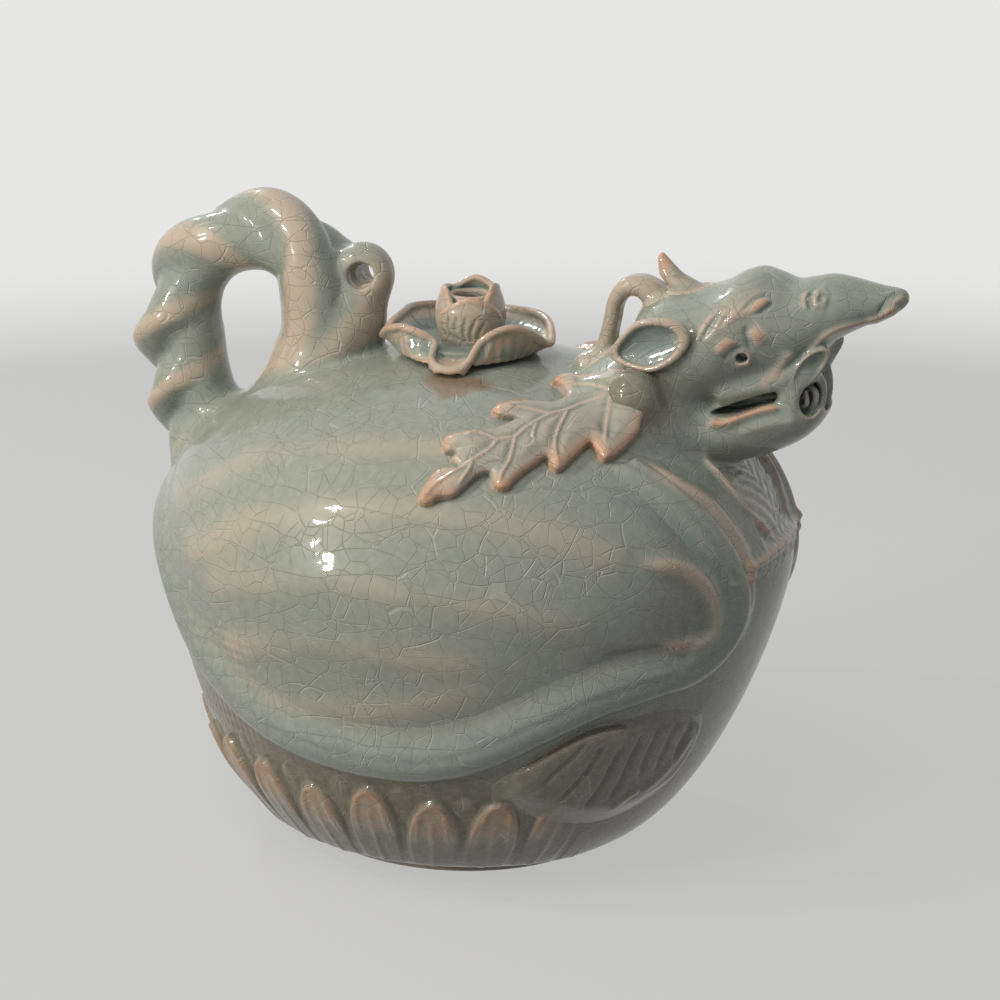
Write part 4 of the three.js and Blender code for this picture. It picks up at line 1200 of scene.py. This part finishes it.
def lid_sheets():
    """Grids over the plan: the flower's upper and under surface, each with its slope, and its reach."""
    run = lid_rim()
    side = np.arange(-LID_HALF, LID_HALF + LID_CELL, LID_CELL)
    x, y = np.meshgrid(side, side, indexing="ij")
    r, turn = np.hypot(x, y), np.degrees(np.arctan2(y, x))
    reach, high = np.interp(turn, run[:, 0], run[:, 1]), np.interp(turn, run[:, 0], run[:, 2])
    foot = LID_FOOT + LID_FOOT_FRONT * bell(turn + 84, 36)
    petal = smooth_step(high, 153.2, 156.5)
    s = np.clip(r / reach, 0, 1)
    steep = np.clip((high - LID_UNDER) / np.maximum(foot - reach, 0.5), 0, 4)
    dish = LID_FLOOR + (high - LID_FLOOR) * s ** (1.6 + 4.4 * petal)
    upper = np.where(r < reach, dish, high - (r - reach) * steep)
    t = np.clip((r - foot) / np.maximum(reach - foot, 0.6), 0, 1.3)
    wall = LID_UNDER + (high - LID_UNDER) * t ** 1.25
    under = wall * petal + np.minimum(upper - 0.9, LID_UNDER + 0.8) * (1 - petal)
    kernel = np.array([0.06, 0.24, 0.4, 0.24, 0.06])
    for grid in (upper, under):
        for axis in (0, 1):
            grid[:] = sum(k * np.roll(grid, n - 2, axis) for n, k in enumerate(kernel))
    tilts = [np.sqrt(1 + sum(np.minimum(slope**2, 25) for slope in np.gradient(grid, LID_CELL)))
             for grid in (upper, under)]
    return np.stack([upper, tilts[0], under, tilts[1], np.maximum(reach, foot)], 2)


LID_SHEETS = lid_sheets()
LID_RIM_PATH = from_axis(*lid_rim().T)


def corolla_field(p):
    """The lid's open flower with the plate under it and the ring that seats in the mouth."""
    x, y, z = p[:, 0] - LID_X, p[:, 1], p[:, 2]
    r, turn = np.hypot(x, y), np.arctan2(y, x)
    sheets = between(LID_SHEETS, (x + LID_HALF) / LID_CELL, (y + LID_HALF) / LID_CELL)
    upper, upper_tilt, under, under_tilt, reach = sheets.T
    ribs = 0.1 * np.cos(46 * turn + 2.0 * np.sin(3 * turn)) * smooth_step(r, 13, 19)
    top = (z - upper) / upper_tilt - 0.4 * ribs
    bottom = (under - z) / under_tilt - ribs
    sheet = smooth_max(smooth_max(top, bottom, 0.8), r - reach - 1.5, 0.6)
    rim = np.minimum(beside(p, LID_RIM_PATH, 8)[0], 8) - LID_RIM_RADIUS
    form = smooth_min(sheet, rim, 1.3)
    plate = smooth_max(r - PLATE_RADIUS, slab(z, PLATE_LOW, PLATE_TOP), 0.4)
    ring = smooth_max(slab(r, FLANGE_INNER, FLANGE_OUTER), slab(z, FLANGE_LOW, FLANGE_TOP), 0.5)
    return smooth_min(form, np.minimum(plate, ring), 0.5)


BUD_MIDDLE = (-1.4, 0.3)
BUD_LOW = 153.2
BUD_FILLED = 164.5  # up to here inside its petals
PETAL_HALF = 0.85  # of a bud petal's thickness
PETAL_EDGE = 0.95
BUD_FORM = [(152, 8.6), (158, 10.4), (161, 10.9), (164, 10.8), (167, 10), (171, 8.4)]
# The bud's petals: how far each stands outside the bud's form, and its upper edge as turn and height.
BUD_EDGES = [
    (0.2, [(-134, 155), (-130, 159.5), (-124, 162.3), (-109, 164.8), (-89, 166.6), (-71, 167.4), (-49, 166.6),
           (-29, 164.6), (-14, 161.5), (-6, 157)]),
    (-0.35, [(-104, 163.5), (-108, 165.8), (-117, 167.6), (-128, 168.8), (-142, 169.4), (-185, 169.2),
             (-205, 168.4), (-222, 166.6)]),
    (-0.35, [(-50, 163.5), (-42, 166), (-34, 167.6), (-10, 170.4), (8, 170.4), (26, 169.6), (46, 168.4),
             (60, 166.6)]),
    (-0.9, [(16, 166), (24, 167.6), (40, 169), (58, 169.8), (79, 170.9), (99, 171.2), (118, 170.4),
            (138, 169), (160, 167.8), (172, 166)]),
]
BUD_LINES = [[(-118, 161.5), (-121, 159), (-114, 156.5)], [(-104, 163), (-109, 159.4), (-102, 156)],
             [(-91, 163.4), (-96, 158.9), (-88, 155.4)], [(-76, 163.6), (-81, 158.2), (-77, 154.9)],
             [(-60, 163), (-69, 158.3), (-68, 155.2)], [(-45, 162), (-55, 158.5), (-58, 155.8)]]
TUBE_MIDDLE = 6.1
TUBE_LIP = 1.25
TUBE_LIP_Z = 166.9
TUBE_INNER = 4.9
TUBE_FLOOR = 156.0


def on_bud(stops, out):
    """A line on the bud's form, a little outside it: its turn and height, and its points."""
    turn, high = smooth_path(stops, 8).T
    return turn, high, from_axis(turn, value_at(BUD_FORM, high) + out, high, BUD_MIDDLE)


BUD_PATHS = [(out, *on_bud(edge, out - PETAL_HALF)) for out, edge in BUD_EDGES]
BUD_GROOVES = [on_bud(line, BUD_EDGES[0][0])[2] for line in BUD_LINES]


def bud_field(p):
    """The bud: a shield-like front petal, two folded side petals, a back one and the open tube."""
    x, y, z = p[:, 0] - BUD_MIDDLE[0], p[:, 1] - BUD_MIDDLE[1], p[:, 2]
    r, turn = np.hypot(x, y), np.degrees(np.arctan2(y, x))
    reach = value_at(BUD_FORM, z)
    form = smooth_max(r - reach + 1.6, z - BUD_FILLED, 1.5)
    lip = np.hypot(r - TUBE_MIDDLE, z - TUBE_LIP_Z) - TUBE_LIP
    wall = smooth_max(np.abs(r - TUBE_MIDDLE) - TUBE_LIP, z - TUBE_LIP_Z, 0.3)
    form = smooth_min(form, np.minimum(lip, wall), 0.8)
    for out, at, high, path in BUD_PATHS:
        order = np.argsort(at)
        here = np.where(turn > at.max(), turn - 360, turn)
        top = np.interp(here, at[order], high[order], left=150, right=150)
        shell = smooth_max(np.abs(r - reach - out + PETAL_HALF) - PETAL_HALF, (z - top) * 0.75, 0.3)
        rim = np.minimum(beside(p, path, 5)[0], 5) - PETAL_EDGE
        form = smooth_min(form, smooth_min(shell, rim, 0.5), 0.35)
    for line in BUD_GROOVES:
        gap, share, _ = beside(p, line, 3)
        form += 0.5 * bell(gap, 0.55) * fade(share, 0.2, 0.15)
    bore = smooth_max(r - TUBE_INNER, TUBE_FLOOR - z, 1.0)
    form = smooth_max(form, -bore, 0.5)
    return smooth_max(form, BUD_LOW - z, 0.3)



class Graph:
    """Builds the nodes of a material or world; most calls return a new node's output."""

    def __init__(self, owner):
        owner.use_nodes = True
        self.owner = owner
        self.tree = owner.node_tree
        self.shader = self.tree.nodes.get("Principled BSDF")

    def node(self, kind, inputs=None, output=0, **settings):
        made = self.tree.nodes.new(kind)
        for key, value in settings.items():
            setattr(made, key, value)
        self.feed(made, inputs or {})
        return made.outputs[output]

    def feed(self, node, inputs):
        """Links or sets a node's inputs."""
        for key, value in inputs.items():
            if isinstance(value, bpy.types.NodeSocket):
                self.tree.links.new(value, node.inputs[key])
            else:
                node.inputs[key].default_value = value

    def math(self, operation, a, b=0.0, c=0.0):
        return self.node("ShaderNodeMath", {0: a, 1: b, 2: c}, operation=operation)

    def vector(self, operation, a, b):
        return self.node("ShaderNodeVectorMath", {0: a, 1: b}, operation=operation)

    def ramp(self, value, low, high, start=0.0, end=1.0):
        """A smooth step of a value from start to end between low and high."""
        inputs = {"Value": value, "From Min": low, "From Max": high, "To Min": start, "To Max": end}
        return self.node("ShaderNodeMapRange", inputs, interpolation_type="SMOOTHSTEP")

    def mix(self, factor, a, b):
        return self.node("ShaderNodeMix", {"Factor": factor, 6: a, 7: b}, output=2, data_type="RGBA")

    def noise(self, place, scale, detail, output=0, roughness=0.5):
        inputs = {"Vector": place, "Scale": scale, "Detail": detail, "Roughness": roughness}
        return self.node("ShaderNodeTexNoise", inputs, output)

    def cells(self, place, feature, output=0):
        return self.node("ShaderNodeTexVoronoi", {"Vector": place, "Scale": 1.0}, output, feature=feature)

    def bump(self, height, strength, distance):
        return self.node("ShaderNodeBump", {"Height": height, "Strength": strength, "Distance": distance})

    def attribute(self, name):
        return self.node("ShaderNodeAttribute", output=2, attribute_name=name)

    def looked_at(self):
        """1 for rays from the camera, a reflection or a transmission, and 0 for rays that light something."""
        kinds = self.tree.nodes.new("ShaderNodeLightPath").outputs
        reflected = self.math("MAXIMUM", kinds["Is Glossy Ray"], kinds["Is Transmission Ray"])
        return self.math("MAXIMUM", kinds["Is Camera Ray"], reflected)


POOLED = (0.165, 0.22, 0.195, 1)
CELADON = (0.25, 0.275, 0.22, 1)
THIN = (0.44, 0.355, 0.275, 1)
BARE_EDGE = (0.52, 0.31, 0.195, 1)
# Dark olive: the glaze's own olive round the knob and low on the body, and painted shade on the lower body,
# the chest under the head and the flippers.
OLIVE_AND_SHADE = (0.14, 0.112, 0.06, 1)
CRACK_PALE = (0.52, 0.51, 0.43, 1)
BUBBLES = (0.5, 0.5, 0.44, 1)
# Dark brown: the patch in front of the lid, which is partly painted shadow under the lid's edge, and the
# inside of the bud's tube.
BROWN = (0.21, 0.105, 0.05, 1)


def crackle(g, place):
    """The glaze's cracks, and a tone for each cell between them."""
    drift = g.vector("SUBTRACT", g.noise(place, 38.0, 1.0, 1), (0.5, 0.5, 0.5))
    bent = g.vector("ADD", place, g.vector("MULTIPLY", drift, (0.012, 0.012, 0.007)))
    # long cracks that run round the body, and short ones between them
    long_way = g.vector("MULTIPLY", bent, (60.0, 60.0, 150.0))
    short_way = g.vector("MULTIPLY", g.vector("ADD", bent, (0.31, 0.17, 0.42)), (190.0, 190.0, 150.0))
    long = g.ramp(g.cells(long_way, "DISTANCE_TO_EDGE"), 0.0, 0.018, 1.0, 0.0)
    short = g.ramp(g.cells(short_way, "DISTANCE_TO_EDGE"), 0.0, 0.028, 1.0, 0.0)
    broken = g.ramp(g.noise(place, 70.0, 2.0), 0.34, 0.5)
    crack = g.math("MAXIMUM", long, g.math("MULTIPLY", short, broken))
    return crack, g.math("MULTIPLY_ADD", g.cells(long_way, "F1", 1), 0.16, -0.08)


def glaze(name, warmth):
    """Crackled celadon: blue where it pools, pink and thin where the clay stands out."""
    g = Graph(bpy.data.materials.new(name))
    place = g.node("ShaderNodeTexCoord", output=3)
    crack, cell = crackle(g, place)
    cloud = g.noise(place, 26.0, 3.0, roughness=0.6)
    tone = g.math("ADD", g.attribute("warm"), g.math("MULTIPLY_ADD", cloud, 0.8, -0.4 + warmth))
    tone = g.math("ADD", tone, cell)
    base = g.mix(g.ramp(tone, -0.75, 0.05), POOLED, CELADON)
    base = g.mix(g.ramp(tone, 0.05, 0.95), base, THIN)
    base = g.mix(g.ramp(tone, 0.95, 2.0), base, BARE_EDGE)
    # Olive mix: the knob's own olive; on the lower body partly its own colour and partly painted shade; on
    # the chest and the flippers painted shade.
    base = g.mix(g.attribute("olive"), base, OLIVE_AND_SHADE)
    base = g.mix(g.ramp(g.noise(place, 420.0, 2.0), 0.3, 0.75, 0.0, 0.16), base, BUBBLES)
    base = g.mix(g.math("MULTIPLY", crack, 0.26), base, CRACK_PALE)
    # Brown mix: in front of the lid partly a brown drip and partly painted shadow under the lid's edge; also
    # the inside of the bud's tube.
    base = g.mix(g.attribute("brown"), base, BROWN)
    grain = g.math("MULTIPLY", g.noise(place, 700.0, 1.0), 0.12)
    height = g.math("ADD", g.math("MULTIPLY", crack, -1.0), grain)
    g.feed(g.shader, {
        "Base Color": base,
        "Roughness": 0.34,
        "Specular IOR Level": 0.2,
        "Coat Weight": 0.6,
        "Coat Roughness": 0.06,
        "Normal": g.bump(height, 0.9, 0.00018),
        "Coat Normal": g.bump(g.noise(place, 110.0, 2.0), 0.3, 0.0012),
    })
    return g.owner


materials = {
    "celadon_glaze": glaze("celadon_glaze", 0.0),
    "celadon_relief": glaze("celadon_relief", 0.3),
    "bare_clay": glaze("bare_clay", 0.9),
}
slots = {m["slot"]: m["nodes"] for m in frame["record"]["materials"] if "nodes" in m}
for name, node in frame["nodes"].items():
    node.data.materials.clear()
    slot = next((s for s, names in slots.items() if name in names), "celadon_glaze")
    node.data.materials.append(materials[slot])



def link(thing):
    bpy.context.scene.collection.objects.link(thing)
    return thing


def make_piece(name, vertices, faces, replaced, body="ewer", slot="celadon_glaze", caps=(), **layers):
    """A named piece from arrays in millimetres, shaded smooth, with its glaze's tints, some of them painted
    shade, at each vertex.
    """
    mesh = bpy.data.meshes.new(name)
    loops = np.concatenate([faces.ravel(), *caps]).astype(np.int32)
    sizes = np.array([4] * len(faces) + [len(cap) for cap in caps])
    mesh.vertices.add(len(vertices))
    mesh.vertices.foreach_set("co", (vertices * MM).astype(np.float32).ravel())
    mesh.loops.add(len(loops))
    mesh.loops.foreach_set("vertex_index", loops)
    mesh.polygons.add(len(sizes))
    mesh.polygons.foreach_set("loop_start", (np.cumsum(sizes) - sizes).astype(np.int32))
    mesh.update(calc_edges=True)
    mesh.polygons.foreach_set("use_smooth", np.ones(len(sizes), bool))
    for label, values in layers.items():
        layer = mesh.attributes.new(label, "FLOAT", "POINT")
        layer.data.foreach_set("value", np.asarray(values, np.float32))
    mesh.validate()
    mesh.materials.append(materials[slot])
    piece = link(bpy.data.objects.new(name, mesh))
    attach(piece, body)
    for node in replaced:
        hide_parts(node)



def both_sides(name, vertices, faces, **layers):
    """A piece made for y > 0, which is the left, and its mirror image on the right."""
    for side, turned, way in (("left", faces, 1), ("right", faces[:, ::-1], -1)):
        make_piece(f"{name}_{side}", vertices * (1, way, 1), turned, [f"{name}_{side}"], **layers)


def beside_skin(vertices, warm, reach=5.0):
    """A piece's warmth, running into the body's own where the piece meets it."""
    q = near_side(vertices)
    share = smooth_step(-skin_field(q), -reach, 0)
    return warm * (1 - share) + skin_warmth(q) * share


def spot(vertices, place, radius):
    """1 at a place and 0 beyond a radius from it, on both sides."""
    return 1 - smooth_step(np.linalg.norm(near_side(vertices) - place, axis=1), 0.3 * radius, radius)


def knob_olive(vertices):
    """The olive tone round the knob behind the ear, the same on each piece that meets there."""
    return 0.8 * spot(vertices, KNOB_AT, 19)


# The body, with a brown patch in front of the lid: partly a brown drip, partly painted shadow under the lid's
# edge
DRIP_AND_SHADOW_AT = (5, -30)
DRIP_AND_SHADOW_HALF = (10.5, 7)
vertices, faces, warm, caps = body_mesh()
x, y, z = vertices.T
a, b = x - DRIP_AND_SHADOW_AT[0], y - DRIP_AND_SHADOW_AT[1]
turn = np.arctan2(b, a)
drip_and_shadow = np.hypot(a / DRIP_AND_SHADOW_HALF[0], b / DRIP_AND_SHADOW_HALF[1])
drip_and_shadow /= 1 + 0.22 * np.sin(3 * turn) + 0.07 * np.sin(7 * turn + 1)
brown = 0.6 * (1 - smooth_step(drip_and_shadow, 0.7, 1.08)) * (z > 140)
# Darker olive towards the foot: partly the lower body's own brown-olive glaze, partly painted shade. The
# front mask is painted shade on the chest under the head. Both are weaker on warm places such as the petal
# tips.
low = 1 - smooth_step(z + 0.12 * x, 42, 58)
front = smooth_step(x, 66, 80) * (1 - smooth_step(z, 118, 128))
olive = np.maximum(low, 0.4 * front) * (0.85 - 0.45 * np.clip(warm, 0, 1))
make_piece("body_shell", vertices, faces, ["lower_body_right", "lower_body_left", "upper_body"], caps=caps,
           warm=warm, brown=brown, olive=np.maximum(knob_olive(vertices), olive))

# The shell's rolled rim
vertices, faces, bulge = carve(rim_field, (-101, -1.5, 36), (98, 86, 139), 0.7)
both_sides("shell_rim", vertices, faces, warm=beside_skin(vertices, 1.6 * bulge - 0.4, 2.5))

# The handle with its lug
vertices, faces, bulge = carve(handle_piece_field, (-116, -27, 96), (-14, 27, 198), 0.6, 4.5)
warm = handle_warmth(vertices) + 0.8 * bulge + 0.5 * spot(vertices, (LUG_AT[0], 3, LUG_AT[1]), 11)
make_piece("handle", vertices, faces, ["handle_stem_1", "handle_stem_2", "cord_lug"],
           warm=beside_skin(vertices, warm))

# Head, jaw and neck
vertices, faces, bulge = carve(head_piece_field, (28, -42, 112), (132, 42, 186), 0.5, 1.6)
warm = beside_skin(vertices, head_lines(near_side(vertices))[1] + 2.2 * bulge - 0.1)
pairs = [f"{part}_{side}" for part in ("brow", "eye", "lip_curl") for side in ("right", "left")]
make_piece("head_and_neck", vertices, faces, ["head", "lower_jaw", "neck", "tongue"] + pairs,
           warm=warm, olive=knob_olive(vertices))
vertices, faces, bulge = carve(ear_piece_field, (42, 8, 148), (74, 27, 174), 0.35, 1.4)
both_sides("ear", vertices, faces, warm=bulge + 1.5 * smooth_step(ear_place(vertices)[0], 0.66, 0.9) - 0.6)
vertices, faces, bulge = carve(horn_field, (54, -9, 168), (76, 9, 186), 0.35, 1.6)
make_piece("horn", vertices, faces, ["horn"],
           warm=1.6 * bulge + 0.5 + 0.9 * smooth_step(60 - vertices[:, 0], -3, 2))
vertices, faces, bulge = carve(loop_field, (26, -10, 142), (66, 10, 180), 0.4, 1.6)
make_piece("crest_loop", vertices, faces, ["crest_loop"], warm=beside_skin(vertices, 1.2 * bulge + 0.6))
vertices, faces, bulge = carve(knob_field, (42, 14, 134), (68, 36, 160), 0.5)
both_sides("neck_knob", vertices, faces, warm=bulge, olive=knob_olive(vertices))

# The reliefs pressed on: the mane leaves and the front flippers
vertices, faces, bulge = carve(leaf_field, (-2, 4, 108), (62, 74, 156), 0.4, 1.4)
both_sides("mane_leaf", vertices, faces, warm=1.2 * bulge + on_pressed(LEAF, vertices)[2])
# The flippers are darkened olive all over: painted shade.
vertices, faces, bulge = carve(flipper_field, (26, 16, 20), (92, 82, 70), 0.6, 1.6)
both_sides("flipper", vertices, faces, warm=1.2 * bulge + on_pressed(FLIPPER, vertices)[2],
           olive=np.full(len(bulge), 0.65))

# The foot: a low oval ring, with the hollow under it
FOOT_LENGTH = 47.0
FOOT_COLUMNS = 160
FOOT_PROFILE = [
    (0.01, 1.0), (0.78, 1.0), (0.83, 0.4), (0.86, 0), (0.96, 0), (0.985, 0.3), (1.0, 1.2), (1.0, 3.2),
    (0.97, 4.1), (0.01, 4.1),
]
turn = np.linspace(0, 2 * np.pi, FOOT_COLUMNS, endpoint=False)
oval = np.stack([FOOT_LENGTH * np.cos(turn), FOOT_LENGTH * BODY_RATIO * np.sin(turn), 0 * turn], 1)
vertices = np.concatenate([oval * share + (lean_at(BODY_LOW), 0, z) for share, z in FOOT_PROFILE])
make_piece("foot", vertices, grid_faces(len(FOOT_PROFILE), FOOT_COLUMNS), ["foot"], slot="bare_clay",
           caps=end_caps(len(FOOT_PROFILE), FOOT_COLUMNS))

# The lid
vertices, faces, bulge = carve(corolla_field, (-32, -30, 141), (28, 30, 166), 0.4, 1.6)
x, y, z = vertices.T
pool = smooth_step(z, 152.5, 153.6) * (1 - smooth_step(z, 154.6, 157.5))
pool *= 1 - smooth_step(np.hypot(x - LID_X, y), 19, 24)
petals = [f"lid_petal_{i}" for i in range(1, 6)]
make_piece("lid_flower", vertices, faces, ["lid_plate", "lid_flange"] + petals, "lid",
           warm=3.6 * bulge + 0.5 - 1.2 * pool)
vertices, faces, bulge = carve(bud_field, (-15, -14, 152), (13, 14, 174), 0.3, 1.2)
x, y, z = vertices.T
inner = (np.hypot(x - BUD_MIDDLE[0], y - BUD_MIDDLE[1]) < TUBE_INNER + 0.4) * (z < 166)
make_piece("lid_bud", vertices, faces, [f"bud_petal_{i}" for i in range(1, 6)] + ["bud_tube"], "lid",
           warm=5 * bulge + 0.35 + 0.35 * (y < -3), brown=0.75 * inner)



def toward(azimuth, elevation):
    """The unit vector from the object to a viewer at an azimuth and elevation in degrees."""
    azimuth, elevation = math.radians(azimuth), math.radians(elevation)
    level = math.cos(elevation)
    return Vector((math.sin(azimuth) * level, -math.cos(azimuth) * level, math.sin(elevation)))


def place_facing(data, azimuth, elevation, distance):
    """A camera or lamp at a distance from the object, turned to it."""
    holder = link(bpy.data.objects.new(data.name, data))
    back = toward(azimuth, elevation)
    holder.location = TARGET + back * distance
    holder.rotation_euler = back.to_track_quat("Z", "Y").to_euler()
    return holder


def area_light(name, azimuth, elevation, distance, width, height, power, colour):
    lamp = bpy.data.lights.new(name, "AREA")
    lamp.shape = "RECTANGLE"
    lamp.size = width
    lamp.size_y = height
    lamp.energy = power
    lamp.color = colour
    return place_facing(lamp, azimuth, elevation, distance)


PALE = (0.8, 0.8, 0.79, 1)

# Floor: pale to the camera and to reflections, with the object's shadow, fading into the backdrop.
HALF_FLOOR = 3.0
mesh = bpy.data.meshes.new("floor")
corners = [(x * HALF_FLOOR, y * HALF_FLOOR, 0) for x, y in ((-1, -1), (1, -1), (1, 1), (-1, 1))]
mesh.from_pydata(corners, [], [(0, 1, 2, 3)])
floor = link(bpy.data.objects.new("floor", mesh))
g = Graph(bpy.data.materials.new("pale_floor"))
g.feed(g.shader, {"Base Color": (0.3, 0.3, 0.29, 1), "Roughness": 0.8, "Specular IOR Level": 0.2})
middle = g.node("ShaderNodeTexCoord", output=3)
away = g.node("ShaderNodeVectorMath", {0: middle}, output=1, operation="LENGTH")
lift = g.math("MULTIPLY", g.looked_at(), g.math("MAXIMUM", g.ramp(away, 0.25, 0.9), 0.6))
glow = g.node("ShaderNodeEmission", {"Color": PALE})
shown = g.node("ShaderNodeMixShader", {0: lift, 1: g.shader.outputs[0], 2: glow})
g.feed(g.tree.nodes["Material Output"], {0: shown})
mesh.materials.append(g.owner)

# World: an even pale backdrop that lights the object only softly.
world = bpy.data.worlds.new("studio")
bpy.context.scene.world = world
g = Graph(world)
backdrop = g.node("ShaderNodeBackground", {"Color": PALE, "Strength": 1.0})
fill = g.node("ShaderNodeBackground", {"Color": (0.75, 0.78, 0.8, 1), "Strength": 0.31})
shown = g.node("ShaderNodeMixShader", {0: g.looked_at(), 1: fill, 2: backdrop})
g.feed(g.tree.nodes["World Output"], {0: shown})

# Lamps: three small warm ones, reflected above each other on the shell, a soft one and one behind.
for azimuth, elevation in ((-50, 43), (-43, 27), (-37, 14)):
    area_light(f"key_{elevation}", azimuth, elevation, 1.0, 0.07, 0.045, 2.4, (1, 0.93, 0.85))
area_light("soft", -2, 60, 1.1, 0.5, 0.5, 4.0, (1, 0.98, 0.95)).visible_glossy = False
area_light("back", -130, 36, 1.1, 0.08, 0.05, 1.8, (0.92, 0.97, 1))

lens = bpy.data.cameras.new("camera")
lens.lens = LENS
lens.sensor_width = SENSOR
lens.clip_start = 0.01
bpy.context.scene.camera = place_facing(lens, AZIMUTH, ELEVATION, DISTANCE)
bpy.context.scene.view_settings.view_transform = "Standard"
